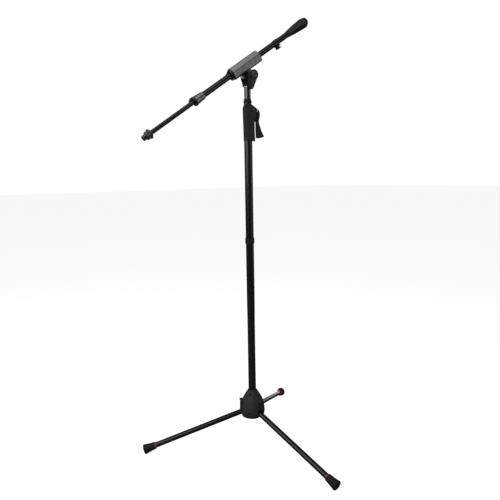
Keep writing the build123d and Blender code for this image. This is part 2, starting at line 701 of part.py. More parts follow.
with BuildPart() as clutch_plates:
    for step in range(2):
        floor = PLATES_BOTTOM + step * (PLATE_THICKNESS + PLATE_GAP)
        with BuildSketch(Plane((0, 0, floor), x_dir=GRIP.x_dir, z_dir=(0, 0, 1))):
            Circle(LOWER_R - FREE)
            with Locations(((GRIP_FRONT - 1) / 2, 0)):
                Rectangle(GRIP_FRONT - 1, 12)
            Circle(UPPER_R + FREE, mode=Mode.SUBTRACT)
        extrude(amount=PLATE_THICKNESS)
save(clutch_plates.part, "clutch_plates")

with BuildPart() as clutch_spring:
    spring_height = CLUTCH_HEAD_BOTTOM - PLATES_TOP - SPRING_WIRE - 0.4
    with BuildLine():
        coil = Helix(
            pitch=spring_height / 4,
            height=spring_height,
            radius=(UPPER_R + LOWER_R) / 2,
            center=(0, 0, PLATES_TOP + SPRING_WIRE / 2 + 0.2),
        )
    with BuildSketch(Plane(coil @ 0, z_dir=coil % 0)):
        Circle(SPRING_WIRE / 2)
    sweep(path=coil, is_frenet=True)
save(clutch_spring.part, "clutch_spring")

# ------------------------------------------------------------------ upper mast
upper_bottom = UPPER_TUBE_TOP - UPPER_TUBE_LENGTH
with BuildPart() as upper_tube:
    with BuildSketch(Plane.XY.offset(upper_bottom)):
        Circle(UPPER_R)
        Circle(UPPER_BORE_R, mode=Mode.SUBTRACT)
    extrude(amount=UPPER_TUBE_LENGTH)
save(upper_tube.part, "upper_tube")

turned(
    "upper_glide",
    MAST,
    [
        (upper_bottom - 3, 0),
        (upper_bottom - 3, LOWER_BORE_R - RUNNING),
        (upper_bottom + GLIDE_LENGTH, LOWER_BORE_R - RUNNING),
        (upper_bottom + GLIDE_LENGTH, UPPER_R),
        (upper_bottom, UPPER_R),
        (upper_bottom, 0),
    ],
)
turned(
    "upper_stud",
    MAST,
    [
        (UPPER_TUBE_TOP - STUD_PLUG, 0),
        (UPPER_TUBE_TOP - STUD_PLUG, UPPER_BORE_R),
        (UPPER_TUBE_TOP, UPPER_BORE_R),
        (UPPER_TUBE_TOP, THREAD_R),
        (FORK_FLOOR - 1.6, THREAD_R),
        (FORK_FLOOR - 0.8, THREAD_R - 0.8),
        (FORK_FLOOR - 0.8, 0),
    ],
)

# ------------------------------------------------------------------ swivel
turned(
    "swivel_washer",
    MAST,
    [
        (UPPER_TUBE_TOP, THREAD_R + RUNNING),
        (UPPER_TUBE_TOP, UPPER_R + 1.5),
        (UPPER_TUBE_TOP + 0.4, UPPER_R + 1.9),
        (SOCKET_BOTTOM - 0.4, UPPER_R + 1.9),
        (SOCKET_BOTTOM, UPPER_R + 1.5),
        (SOCKET_BOTTOM, THREAD_R + RUNNING),
    ],
)

socket_r = UPPER_R + 0.7
with BuildPart() as swivel_socket:
    # seen along the pivot: two round ears on a tapered neck
    with BuildSketch(Plane.XZ):
        with Locations((0, PIVOT_HEIGHT)):
            Circle(FORK_EAR_RADIUS)
        with BuildLine():
            Polyline(
                (-socket_r, SOCKET_BOTTOM),
                (socket_r, SOCKET_BOTTOM),
                (socket_r, SOCKET_BOTTOM + 5),
                (FORK_EAR_RADIUS, PIVOT_HEIGHT - 4),
                (-FORK_EAR_RADIUS, PIVOT_HEIGHT - 4),
                (-socket_r, SOCKET_BOTTOM + 5),
                close=True,
            )
        make_face()
    extrude(amount=FORK_WIDTH / 2, both=True)
    # seen along the boom: a tulip that opens towards the ears
    with BuildSketch(Plane.YZ):
        with BuildLine():
            half = FORK_WIDTH / 2
            ear_top = PIVOT_HEIGHT + FORK_EAR_RADIUS
            lip = PIVOT_HEIGHT - 4
            Polyline((-half, lip), (-half, ear_top), (half, ear_top), (half, lip))
            Spline((half, lip), (socket_r, SOCKET_BOTTOM + 4), tangents=[(-0.25, -1), (-0.1, -1)])
            Polyline((socket_r, SOCKET_BOTTOM + 4), (socket_r, SOCKET_BOTTOM), (-socket_r, SOCKET_BOTTOM))
            Line((-socket_r, SOCKET_BOTTOM), (-socket_r, SOCKET_BOTTOM + 4))
            Spline((-socket_r, SOCKET_BOTTOM + 4), (-half, lip), tangents=[(-0.1, 1), (-0.25, 1)])
        make_face()
    extrude(amount=2 * FORK_EAR_RADIUS, both=True, mode=Mode.INTERSECT)
    with BuildSketch(Plane.XY.offset(FORK_FLOOR)):
        Rectangle(4 * FORK_EAR_RADIUS, FORK_GAP)
    extrude(amount=PIVOT_HEIGHT, mode=Mode.SUBTRACT)
    with BuildSketch(Plane.XY.offset(SOCKET_BOTTOM)):
        Circle(THREAD_R + RUNNING)
    extrude(amount=FORK_FLOOR - SOCKET_BOTTOM, mode=Mode.SUBTRACT)
    with BuildSketch(Plane.XZ):
        with Locations((0, PIVOT_HEIGHT)):
            Circle(TILT_BOLT_R)
    extrude(amount=FORK_WIDTH, both=True, mode=Mode.SUBTRACT)
save(swivel_socket.part, "swivel_socket")

# Towards the side of the tilt lever, square to the boom.
NEAR = Plane((0, 0, PIVOT_HEIGHT), x_dir=(0, -1, 0), z_dir=(1, 0, 0))
fork_side = FORK_WIDTH / 2
lever_start = fork_side + TILT_WASHER + STOP_GAP
lever_end = lever_start + LEVER_THICKNESS
turned(
    "pivot_bolt",
    NEAR,
    [
        (-fork_side - 5, 0),
        (-fork_side - 5, 5.5),
        (-fork_side - 4, 7),
        (-fork_side, 7),
        (-fork_side, TILT_BOLT_R),
        (lever_end - 5, TILT_BOLT_R),
        (lever_end - 5, 0),
    ],
)
turned(
    "tilt_washer",
    NEAR,
    [
        (fork_side, TILT_BOLT_R),
        (fork_side, FORK_EAR_RADIUS - 1.5),
        (fork_side + TILT_WASHER, FORK_EAR_RADIUS - 1.5),
        (fork_side + TILT_WASHER, TILT_BOLT_R),
    ],
)

lever_lean = radians(LEVER_LEAN)
tail_r = 5.0
tail_run = LEVER_TAIL - tail_r
tail_spot = (-tail_run * sin(lever_lean), -tail_run * cos(lever_lean))
with BuildPart() as tilt_lever:
    with BuildSketch(Plane((0, -lever_start, PIVOT_HEIGHT), x_dir=(1, 0, 0), z_dir=(0, -1, 0))):
        Circle(LEVER_BOSS_RADIUS)
    extrude(amount=LEVER_THICKNESS)
    with BuildSketch(Plane((0, -lever_start - 5, PIVOT_HEIGHT), x_dir=(1, 0, 0), z_dir=(0, -1, 0))):
        Circle(LEVER_BOSS_RADIUS)
        with Locations(tail_spot):
            Circle(tail_r)
        make_hull()
    extrude(amount=LEVER_THICKNESS - 7)
    with BuildSketch(Plane((0, -lever_start, PIVOT_HEIGHT), x_dir=(1, 0, 0), z_dir=(0, -1, 0))):
        Circle(TILT_BOLT_R + RUNNING)
    extrude(amount=LEVER_THICKNESS, mode=Mode.SUBTRACT)
    with BuildSketch(Plane((0, -lever_end, PIVOT_HEIGHT), x_dir=(1, 0, 0), z_dir=(0, -1, 0))):
        Circle(LEVER_CAP_RADIUS)
    extrude(amount=-4, mode=Mode.SUBTRACT)
save(tilt_lever.part, "tilt_lever")
turned(
    "lever_cap",
    NEAR,
    [
        (lever_end - 4, 0),
        (lever_end - 4, LEVER_CAP_RADIUS),
        (lever_end + 0.6, LEVER_CAP_RADIUS),
        (lever_end + 1.4, LEVER_CAP_RADIUS - 1.5),
        (lever_end + 1.4, 0),
    ],
)

# ------------------------------------------------------------------ boom clamp
block_half = BLOCK_WIDTH / 2
block_top = BLOCK_HEIGHT / 2
groove_top = block_top - BLOCK_TOP_CHAMFER - 0.6
groove_floor = groove_top - GROOVE_WIDTH
groove_wall = block_half - GROOVE_DEPTH
clamp_bore_r = BOOM_R + RUNNING + CLAMP_BUSH_WALL
lug_half = LUG_THICKNESS / 2
with BuildPart() as clamp_block:
    with BuildSketch(across(BOOM, -BLOCK_REAR)):
        with BuildLine():
            Polyline(
                (-block_half, -block_top + BLOCK_LOW_CHAMFER),
                (-block_half + BLOCK_LOW_CHAMFER, -block_top),
                (block_half - BLOCK_LOW_CHAMFER, -block_top),
                (block_half, -block_top + BLOCK_LOW_CHAMFER),
                (block_half, groove_floor),
                (groove_wall, groove_floor),
                (groove_wall, groove_top),
                (block_half, groove_top),
                (block_half, block_top - BLOCK_TOP_CHAMFER),
                (block_half - BLOCK_TOP_CHAMFER, block_top),
                (-block_half + BLOCK_TOP_CHAMFER, block_top),
                (-block_half, block_top - BLOCK_TOP_CHAMFER),
                (-block_half, groove_top),
                (-groove_wall, groove_top),
                (-groove_wall, groove_floor),
                (-block_half, groove_floor),
                close=True,
            )
        make_face()
    extrude(amount=BLOCK_REAR + BLOCK_FRONT)
    with BuildSketch(PIVOT):
        Circle(LUG_RADIUS)
        with Locations((0, BOOM_OFFSET - block_top + 0.5)):
            Rectangle(3.6 * LUG_RADIUS, 1)
        make_hull()
    extrude(amount=lug_half, both=True)
    with BuildSketch(PIVOT):
        Circle(TILT_BOLT_R + RUNNING)
    extrude(amount=BLOCK_WIDTH, both=True, mode=Mode.SUBTRACT)
    with BuildSketch(across(BOOM, -BLOCK_REAR)):
        Circle(clamp_bore_r)
    extrude(amount=BLOCK_REAR + BLOCK_FRONT, mode=Mode.SUBTRACT)
    with BuildSketch(BOOM):
        with Locations((CLAMP_KNOB_PLACE, 0)):
            Circle(KNOB_SCREW_R + RUNNING)
    extrude(amount=BLOCK_WIDTH, mode=Mode.SUBTRACT)
    with BuildSketch(BOOM):
        with Locations((BLOCK_FRONT - 5, 0)):
            Circle(SCREW_R)
    extrude(amount=-BLOCK_WIDTH, mode=Mode.SUBTRACT)
save(clamp_block.part, "clamp_block")

turned(
    "clamp_front_bush",
    BOOM,
    [
        (BLOCK_FRONT - 20, BOOM_R + RUNNING),
        (BLOCK_FRONT - 20, clamp_bore_r),
        (BLOCK_FRONT, clamp_bore_r),
        (BLOCK_FRONT, block_half - 0.6),
        (BLOCK_FRONT + 4.5, block_half - 1),
        (BLOCK_FRONT + 6, block_half - 2.5),
        (BLOCK_FRONT + 6, BOOM_R + RUNNING),
    ],
)
turned(
    "clamp_rear_bush",
    BOOM,
    [
        (-BLOCK_REAR + 20, BOOM_R + RUNNING),
        (-BLOCK_REAR + 20, clamp_bore_r),
        (-BLOCK_REAR, clamp_bore_r),
        (-BLOCK_REAR, clamp_bore_r + 2.5),
        (-BLOCK_REAR - 2, clamp_bore_r + 2),
        (-BLOCK_REAR - 2, BOOM_R + RUNNING),
    ],
)
turned(
    "clamp_side_screw",
    Plane(BOOM.origin + BOOM.x_dir * (BLOCK_FRONT - 5), x_dir=(0, -1, 0), z_dir=(1, 0, 0)),
    [
        (clamp_bore_r + 0.1, 0),
        (clamp_bore_r + 0.1, SCREW_R),
        (block_half, SCREW_R),
        (block_half, SCREW_HEAD_R),
        (block_half + 1.2, SCREW_HEAD_R),
        (block_half + 1.8, SCREW_HEAD_R - 0.7),
        (block_half + 1.8, 0),
    ],
)

with BuildPart() as friction_discs:
    for side in (1, -1):
        face = Plane(PIVOT.origin + PIVOT.z_dir * (side * lug_half), z_dir=PIVOT.z_dir * side)
        with BuildSketch(face):
            Circle(LUG_RADIUS - 1)
            Circle(TILT_BOLT_R + RUNNING, mode=Mode.SUBTRACT)
        extrude(amount=(FORK_GAP - LUG_THICKNESS) / 2 - 0.2)
save(friction_discs.part, "friction_discs")


def make_knob(name, plane, tip, foot, grip):
    """Lobed knob on its screw: the screw from tip to the knob's foot, the knob grip long."""
    with BuildPart() as screw:
        with BuildSketch(plane.offset(tip)):
            Circle(KNOB_SCREW_R)
        extrude(amount=foot + grip - 3 - tip)
        chamfer(screw.edges().sort_by(Axis(plane.origin, plane.z_dir))[0], length=0.6)
    save(screw.part, f"{name}_screw")
    with BuildPart() as knob:
        with BuildSketch(plane.offset(foot + 2.5)):
            Circle(KNOB_RADIUS)
            with PolarLocations(KNOB_RADIUS + 2, KNOB_LOBES):
                Circle(KNOB_RADIUS * 0.42, mode=Mode.SUBTRACT)
        extrude(amount=grip - 2.5)
        with BuildSketch(plane.offset(foot)):
            Circle(KNOB_RADIUS * 0.55)
        extrude(amount=2.5)
        with BuildSketch(plane.offset(foot)):
            Circle(KNOB_SCREW_R)
        extrude(amount=grip - 3, mode=Mode.SUBTRACT)
    save(knob.part, name)


clamp_knob_plane = Plane(BOOM.origin + BOOM.x_dir * CLAMP_KNOB_PLACE, z_dir=BOOM.z_dir)
make_knob("clamp_knob", clamp_knob_plane, clamp_bore_r + 0.1, block_half + 3, 12)

# ------------------------------------------------------------------ boom
tube_front = SLEEVE_REAR + SLEEVE_LENGTH - 11
sleeve_front = SLEEVE_REAR + SLEEVE_LENGTH
inner_bore_r = INNER_R + RUNNING
tube_rear = COUNTERWEIGHT_FRONT + 32
with BuildPart() as boom_tube:
    with BuildSketch(across(BOOM, -tube_rear)):
        Circle(BOOM_R)
        Circle(BOOM_BORE_R, mode=Mode.SUBTRACT)
    extrude(amount=tube_rear + tube_front)
save(boom_tube.part, "boom_tube")

lock_place = sleeve_front - 5.5
lock_plane = Plane(BOOM.origin + BOOM.x_dir * lock_place, z_dir=BOOM.z_dir)
with BuildPart() as lock_sleeve:
    with BuildSketch(BOOM):
        with BuildLine():
            Polyline(
                (SLEEVE_REAR, BOOM_R),
                (SLEEVE_REAR, BOOM_R + 1.4),
                (SLEEVE_REAR + 2, BOOM_R + 2.2),
                (sleeve_front, BOOM_R + 4.4),
                (sleeve_front, inner_bore_r),
                (tube_front, inner_bore_r),
                (tube_front, BOOM_R),
                close=True,
            )
        make_face()
    revolve(axis=Axis(BOOM.origin, BOOM.x_dir))
    with BuildSketch(lock_plane.offset(INNER_R + 2)):
        Circle(LOCK_BOSS_R)
    extrude(amount=LOCK_BOSS_REACH - INNER_R - 2)
    with BuildSketch(across(BOOM, tube_front)):
        Circle(inner_bore_r)
    extrude(amount=SLEEVE_LENGTH, mode=Mode.SUBTRACT)
    with BuildSketch(lock_plane):
        Circle(KNOB_SCREW_R + RUNNING)
    extrude(amount=2 * LOCK_BOSS_REACH, mode=Mode.SUBTRACT)
    with BuildSketch(across(BOOM, sleeve_front)):
        Rectangle(4 * LOCK_BOSS_REACH, 4 * LOCK_BOSS_REACH)
    extrude(amount=SLEEVE_LENGTH, mode=Mode.SUBTRACT)
save(lock_sleeve.part, "lock_sleeve")

turned(
    "lock_ring",
    BOOM,
    [
        (sleeve_front, inner_bore_r),
        (sleeve_front, LOCK_RING_RADIUS),
        (sleeve_front + LOCK_RING_WIDTH - 1.5, LOCK_RING_RADIUS),
        (sleeve_front + LOCK_RING_WIDTH, LOCK_RING_RADIUS - 1.5),
        (sleeve_front + LOCK_RING_WIDTH, inner_bore_r),
    ],
)
make_knob("lock_knob", lock_plane, INNER_R + 0.2, LOCK_BOSS_REACH + 2, 12)

# counterweight: six-sided tapered casing over a steel slug, closed by an end cap
cap_length = 8.0
casing_end = COUNTERWEIGHT_FRONT + COUNTERWEIGHT_LENGTH
with BuildPart() as counterweight_casing:
    stations = [(0, BOOM_R + 1.85), (0.42, BOOM_R + 6.25), (0.86, BOOM_R + 8.85)]
    for share, radius in stations:
        place = -COUNTERWEIGHT_FRONT - share * COUNTERWEIGHT_LENGTH
        with BuildSketch(across(BOOM, place)):
            RegularPolygon(radius=radius, side_count=6)
            fillet(vertices(), radius=1.6)
    loft(ruled=True)
    end_face = -COUNTERWEIGHT_FRONT - stations[-1][0] * COUNTERWEIGHT_LENGTH
    for place, radius in ((end_face, stations[-1][1]), (-casing_end, BOOM_R + 3.85)):
        with BuildSketch(across(BOOM, place)):
            RegularPolygon(radius=radius, side_count=6)
            fillet(vertices(), radius=1.6)
    loft(ruled=True)
    with BuildSketch(across(BOOM, -tube_rear)):
        Circle(BOOM_R)
    extrude(amount=tube_rear, mode=Mode.SUBTRACT)
    with BuildSketch(across(BOOM, -casing_end)):
        Circle(SLUG_R)
    extrude(amount=casing_end - tube_rear, mode=Mode.SUBTRACT)
save(counterweight_casing.part, "counterweight_casing")

with BuildPart() as counterweight_slug:
    with BuildSketch(across(BOOM, -casing_end + cap_length)):
        Circle(SLUG_R)
    extrude(amount=casing_end - cap_length - tube_rear)
save(counterweight_slug.part, "counterweight_slug")

turned(
    "counterweight_cap",
    BOOM,
    [
        (-casing_end + cap_length, 0),
        (-casing_end + cap_length, SLUG_R),
        (-casing_end, SLUG_R),
        (-casing_end - 1, SLUG_R - 1.2),
        (-casing_end - 1.3, 0),
    ],
)

make_cable_clip("boom_clip", across(BOOM, -BOOM_CLIP_PLACE), BOOM_R, -65)

# ------------------------------------------------------------------ telescoping boom end
inner_rear = sleeve_front - INNER_TUBE_OVERLAP
inner_front = TIP_FLANGE - 4
tip_end = TIP_FLANGE + TIP_THREAD
inner_wall_r = INNER_R - INNER_TUBE_WALL
nut_seat_r = THREAD_R - THREAD_DEPTH
thread_start = TIP_FLANGE + STOP_GAP + LOCK_NUT_LENGTH + 0.4
with BuildPart() as inner_tube:
    with BuildSketch(across(BOOM, inner_rear)):
        Circle(INNER_R)
        Circle(inner_wall_r, mode=Mode.SUBTRACT)
    extrude(amount=inner_front - inner_rear)
save(inner_tube.part, "inner_tube")

turned(
    "inner_glide",
    BOOM,
    [
        (inner_rear - 2, 0),
        (inner_rear - 2, BOOM_BORE_R - RUNNING),
        (inner_rear + 18, BOOM_BORE_R - RUNNING),
        (inner_rear + 18, INNER_R),
        (inner_rear, INNER_R),
        (inner_rear, 0),
    ],
)
turned(
    "tip_stud",
    BOOM,
    [
        (inner_front - 18, 0),
        (inner_front - 18, inner_wall_r),
        (inner_front, inner_wall_r),
        (inner_front, THREAD_R + 1.2),
        (TIP_FLANGE, THREAD_R + 1.2),
        (TIP_FLANGE, nut_seat_r),
        (thread_start, nut_seat_r),
        (thread_start, THREAD_R),
        (tip_end - 0.8, THREAD_R),
        (tip_end, THREAD_R - 0.8),
        (tip_end, 0),
    ],
)

with BuildPart() as lock_nut:
    with BuildSketch(across(BOOM, TIP_FLANGE + STOP_GAP)):
        Circle(LOCK_NUT_FLANGE_R)
    extrude(amount=2.8)
    with BuildSketch(across(BOOM, TIP_FLANGE + STOP_GAP)):
        Circle(LOCK_NUT_R)
        with PolarLocations(LOCK_NUT_R + 0.5, 24):
            Circle(0.9, mode=Mode.SUBTRACT)
    extrude(amount=LOCK_NUT_LENGTH)
    with BuildSketch(across(BOOM, TIP_FLANGE)):
        Circle(nut_seat_r + RUNNING)
    extrude(amount=TIP_THREAD, mode=Mode.SUBTRACT)
save(lock_nut.part, "lock_nut")
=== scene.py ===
"""Looks of the boom microphone stand: detailed pieces, finishes, studio and camera."""

import json
from math import atan2, ceil, cos, pi, radians, sin, sqrt, tau

import bmesh
import bpy
from bpy.props import FloatProperty, FloatVectorProperty, IntProperty, PointerProperty
from mathutils import Matrix, Vector


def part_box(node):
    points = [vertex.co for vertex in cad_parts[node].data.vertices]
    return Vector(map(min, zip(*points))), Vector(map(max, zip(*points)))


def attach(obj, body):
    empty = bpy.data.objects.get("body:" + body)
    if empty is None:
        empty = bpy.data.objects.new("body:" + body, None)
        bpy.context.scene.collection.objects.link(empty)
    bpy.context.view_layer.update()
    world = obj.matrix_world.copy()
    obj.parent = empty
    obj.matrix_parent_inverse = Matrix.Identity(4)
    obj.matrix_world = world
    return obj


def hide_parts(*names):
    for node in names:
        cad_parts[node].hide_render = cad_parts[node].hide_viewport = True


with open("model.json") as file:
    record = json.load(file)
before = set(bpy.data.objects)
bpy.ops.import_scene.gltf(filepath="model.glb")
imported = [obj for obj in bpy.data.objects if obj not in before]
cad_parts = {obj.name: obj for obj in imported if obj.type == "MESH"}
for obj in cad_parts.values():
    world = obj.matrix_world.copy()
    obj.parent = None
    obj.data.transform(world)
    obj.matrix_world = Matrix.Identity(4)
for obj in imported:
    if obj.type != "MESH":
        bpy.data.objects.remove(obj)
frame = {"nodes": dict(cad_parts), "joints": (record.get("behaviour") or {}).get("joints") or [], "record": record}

bl_info = {
    "name": "Boom Stand Looks",
    "version": (1, 0, 0),
    "blender": (4, 5, 0),
    "location": "View3D > Sidebar > Boom Stand",
    "description": "Detailed pieces, finishes and studio of a boom microphone stand",
    "category": "Object",
}

MM = 0.001
NODES = frame["nodes"]
JOINTS = {joint["name"]: joint for joint in frame["joints"]}
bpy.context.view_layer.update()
BODY_OF = {
    node: body
    for body, members in frame["record"]["behaviour"]["bodies"].items()
    for node in members
}
LEGS = ("a", "b", "c")
WEAR = "edge_wear"
RIM_WEAR = 0.35  # wear where a rounding meets a flat face
UP = Vector((0, 0, 1))
TIP_THREAD_RADIUS = 7.9375 * MM  # half of five eighths of an inch
LEG_PIN_RADIUS = 3.0 * MM
LEG_PIN_HALF = 30.0 * MM  # half the length of a hinge pin


# ------------------------------------------------------------------ places, read from the frame
def middle(node):
    """Middle of a CAD node's box."""
    low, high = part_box(node)
    return (low + high) / 2


def pivot(joint):
    """A point on a joint's axis."""
    return Vector(JOINTS[joint]["pos_m"])


def placed(origin, along, sideways=UP):
    """Local frame with Z along one direction and X leaning towards another."""
    z = along.normalized()
    x = (sideways - z * sideways.dot(z)).normalized()
    turn = Matrix((x, z.cross(x), z)).transposed().to_4x4()
    return Matrix.Translation(origin) @ turn


def reach(node, where):
    """Lowest and highest place of a CAD node along Z of a local frame, and its largest radius."""
    back = where.inverted()
    points = [back @ vert.co for vert in NODES[node].data.vertices]
    heights = [point.z for point in points]
    return min(heights), max(heights), max(sqrt(point.x**2 + point.y**2) for point in points)


def bore(node, where):
    """Smallest radius of a CAD node round Z of a local frame."""
    back = where.inverted()
    points = [back @ vert.co for vert in NODES[node].data.vertices]
    return min(sqrt(point.x**2 + point.y**2) for point in points)


BOOM_RUN = Vector(JOINTS["boom_slide"]["axis"])
MAST = placed(Vector((0, 0, 0)), UP, Vector((1, 0, 0)))
BOOM = placed(pivot("lock_nut_turn"), BOOM_RUN, UP)
SWIVEL_PIN = placed(pivot("boom_tilt"), Vector((0, -1, 0)), UP)
TRIGGER_SIDE = Vector(JOINTS["trigger_squeeze"]["axis"])


def leg_frame(letter):
    """Local frame of a leg: Z from its hinge pin out along the tube, X over it."""
    pin = pivot(f"leg_{letter}_fold")
    return placed(pin, middle(f"leg_{letter}_tube") - pin, UP)


# ------------------------------------------------------------------ settings
def length_setting(name, description, millimetres):
    """A length property with its name, what it is for and its default in millimetres."""
    return FloatProperty(name=name, description=description, default=millimetres * MM, unit="LENGTH")


class StandSizes(bpy.types.PropertyGroup):
    """Sizes of the details that the looks add."""

    tube_steps: IntProperty(name="Tube steps", description="Faces round a tube", default=72, min=24)
    edge_radius: length_setting("Edge radius", "Rounding of moulded edges", 0.5)
    machined_radius: length_setting("Machined radius", "Rounding of machined edges", 0.35)
    thread_pitch: length_setting("Thread pitch", "Rise of one turn of the tip thread", 0.94)
    thread_depth: length_setting("Thread depth", "Depth of the tip thread", 0.55)
    knurl_depth: length_setting("Knurl depth", "Depth of the lock nut's flutes", 0.75)
    tread_depth: length_setting("Tread depth", "Depth of the grooves round a foot", 0.6)
    socket_depth: length_setting("Socket depth", "Depth of the recess in a screw head", 1.1)
    screw_shank: length_setting("Screw shank", "Radius of a small screw's shank", 1.5)
    screw_head: length_setting("Screw head", "Radius of a small screw's head", 2.7)
    screw_socket: length_setting("Screw socket", "Corner radius of a small screw's socket", 1.45)


def colour_setting(name, description, default):
    """A colour property with its name, what it is for and its default."""
    return FloatVectorProperty(
        name=name, description=description, default=default, subtype="COLOR", min=0, max=1
    )


class StandColours(bpy.types.PropertyGroup):
    """Colours of the finishes."""

    powder: colour_setting("Powder coat", "Black coat of the tubes", (0.006, 0.006, 0.0065))
    moulding: colour_setting("Moulding", "Black moulded plastic", (0.008, 0.0082, 0.009))
    hub: colour_setting("Hub", "Textured plastic of the hub", (0.003, 0.0033, 0.004))
    grip: colour_setting("Grip", "Soft-touch grip", (0.007, 0.0074, 0.0085))
    rubber: colour_setting("Rubber", "Rubber of the feet", (0.011, 0.010, 0.010))
    trim: colour_setting("Trim", "Red trim of the legs", (0.22, 0.035, 0.025))
    anodised: colour_setting("Anodised", "Grey anodised aluminium", (0.27, 0.275, 0.285))
    bright_steel: colour_setting("Bright steel", "Plated steel", (0.60, 0.60, 0.59))
    dark_steel: colour_setting("Dark steel", "Black oxide steel", (0.075, 0.075, 0.078))
    black_nickel: colour_setting("Black nickel", "Dark plating of the upper tube", (0.085, 0.085, 0.087))
    acetal: colour_setting("Acetal", "Natural plastic of the bushes", (0.62, 0.61, 0.57))
    cast_iron: colour_setting("Cast iron", "Counterweight slug", (0.16, 0.155, 0.15))
    floor: colour_setting("Floor", "Studio floor", (0.93, 0.93, 0.93))


class StandView(bpy.types.PropertyGroup):
    """Where the camera stands, its lens and the size of the floor."""

    azimuth: FloatProperty(
        name="Azimuth",
        description="Side that the camera looks from",
        default=radians(-35.0),
        subtype="ANGLE",
    )
    pitch: FloatProperty(
        name="Pitch",
        description="Tilt of the camera over the horizon",
        default=radians(-8.73),
        subtype="ANGLE",
    )
    roll: FloatProperty(name="Roll", description="Roll of the camera", default=-0.0165, subtype="ANGLE")
    distance: length_setting("Distance", "From the mast's axis, level", 1511.2)
    height: length_setting("Height", "Over the floor", 880.3)
    lens: FloatProperty(name="Lens", description="Focal length in millimetres", default=34.78)
    floor_size: length_setting("Floor size", "Side of the floor", 60000.0)


# ------------------------------------------------------------------ meshes
def stack(sections, count):
    """Solid through rings round Z.

    Each section is a height and a radius, which is a number or a function of the angle and the height.
    """
    bm = bmesh.new()
    ring = bmesh.ops.create_circle(bm, cap_ends=False, segments=count, radius=1)["verts"]
    loop = list(bm.edges)
    angles = {vert: atan2(vert.co.y, vert.co.x) for vert in ring}
    bmesh.ops.contextual_create(bm, geom=loop)
    for place, (height, radius) in enumerate(sections):
        if place:
            made = bmesh.ops.extrude_edge_only(bm, edges=loop)["geom"]
            ring = [item for item in made if isinstance(item, bmesh.types.BMVert)]
            fresh = set(ring)
            loop = [
                item
                for item in made
                if isinstance(item, bmesh.types.BMEdge) and fresh.issuperset(item.verts)
            ]
            angles = {vert: atan2(vert.co.y, vert.co.x) for vert in ring}
        for vert in ring:
            angle = angles[vert]
            size = radius(angle, height) if callable(radius) else radius
            vert.co = (size * cos(angle), size * sin(angle), height)
    bmesh.ops.contextual_create(bm, geom=loop)
    return bm


def spun(outline, count):
    """Solid turned about Z from (height, radius) corners, closed into a ring if none is on Z."""
    bm = bmesh.new()
    verts = [bm.verts.new((radius, 0, height)) for height, radius in outline]
    pairs = list(zip(verts, verts[1:]))
    if min(radius for height, radius in outline) > 0:
        pairs.append((verts[-1], verts[0]))
    edges = [bm.edges.new(pair) for pair in pairs]
    bmesh.ops.spin(
        bm, geom=verts + edges, cent=(0, 0, 0), axis=(0, 0, 1), angle=tau, steps=count, use_merge=True
    )
    bmesh.ops.remove_doubles(bm, verts=bm.verts, dist=0.001 * MM)
    return bm


def copied(node):
    """Working copy of a CAD node's mesh, with its loose triangles joined into faces."""
    bm = bmesh.new()
    bm.from_mesh(NODES[node].data)
    bmesh.ops.remove_doubles(bm, verts=bm.verts, dist=0.002 * MM)
    bmesh.ops.dissolve_limit(bm, angle_limit=radians(0.6), verts=bm.verts, edges=bm.edges)
    return bm


def soften(bm, width, angle=30.0, segments=2):
    """Round the edges that turn by more than the angle and mark the roundings as worn."""
    worn = bm.verts.layers.float.get(WEAR) or bm.verts.layers.float.new(WEAR)
    sharp = [
        edge for edge in bm.edges if edge.is_manifold and edge.calc_face_angle() > radians(angle)
    ]
    if sharp:
        made = bmesh.ops.bevel(
            bm,
            geom=sharp,
            offset=width,
            offset_type="OFFSET",
            segments=segments,
            profile=0.5,
            affect="EDGES",
            clamp_overlap=True,
            material=-1,
        )
        rounded = set(made["faces"])
        for vert in {vert for face in rounded for vert in face.verts}:
            vert[worn] = 1.0 if rounded.issuperset(vert.link_faces) else RIM_WEAR
    return bm


def joined(parts):
    """One bmesh that holds several, each moved by its own matrix."""
    whole = bmesh.new()
    for bm, where in parts:
        bmesh.ops.transform(bm, matrix=where, verts=bm.verts)
        bmesh.ops.recalc_face_normals(bm, faces=bm.faces)
        mesh = bpy.data.meshes.new("part")
        bm.to_mesh(mesh)
        bm.free()
        whole.from_mesh(mesh)
        bpy.data.meshes.remove(mesh)
    return whole


def finished(name, bm, node, material, where=None, smooth=32.0, outwards=True, stands_for=None):
    """Make the piece of a bmesh, put it on its node's body and give it its finish."""
    if where is not None:
        bmesh.ops.transform(bm, matrix=where, verts=bm.verts)
    if outwards:
        bmesh.ops.recalc_face_normals(bm, faces=bm.faces)
    old = bpy.data.objects.get(name)
    if old is not None:
        bpy.data.objects.remove(old)
    mesh = bpy.data.meshes.new(name)
    bm.to_mesh(mesh)
    bm.free()
    mesh.shade_smooth()
    mesh.set_sharp_from_angle(angle=radians(smooth))
    mesh.materials.append(material)
    piece = bpy.data.objects.new(name, mesh)
    bpy.context.scene.collection.objects.link(piece)
    even = piece.modifiers.new("Even shading", "WEIGHTED_NORMAL")
    even.keep_sharp = True
    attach(piece, BODY_OF[node])
    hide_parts(*(stands_for or [node]))
    return piece


def finished_copy(node, material, width, angle=30.0, smooth=32.0, segments=2):
    """A CAD node's shape with rounded edges, shown instead of the node."""
    bm = soften(copied(node), width, angle, segments)
    return finished(f"{node}_rounded", bm, node, material, smooth=smooth, outwards=False)


# ------------------------------------------------------------------ outlines round an axis
def scalloped(size, count, out, cut):
    """Radius of a disc with round bites: their number, distance from the axis and radius."""

    def radius(angle, height):
        step = tau / count
        off = (angle + step / 2) % step - step / 2
        if abs(out * sin(off)) >= cut:
            return size
        return min(size, out * cos(off) - sqrt(cut**2 - (out * sin(off)) ** 2))

    return radius


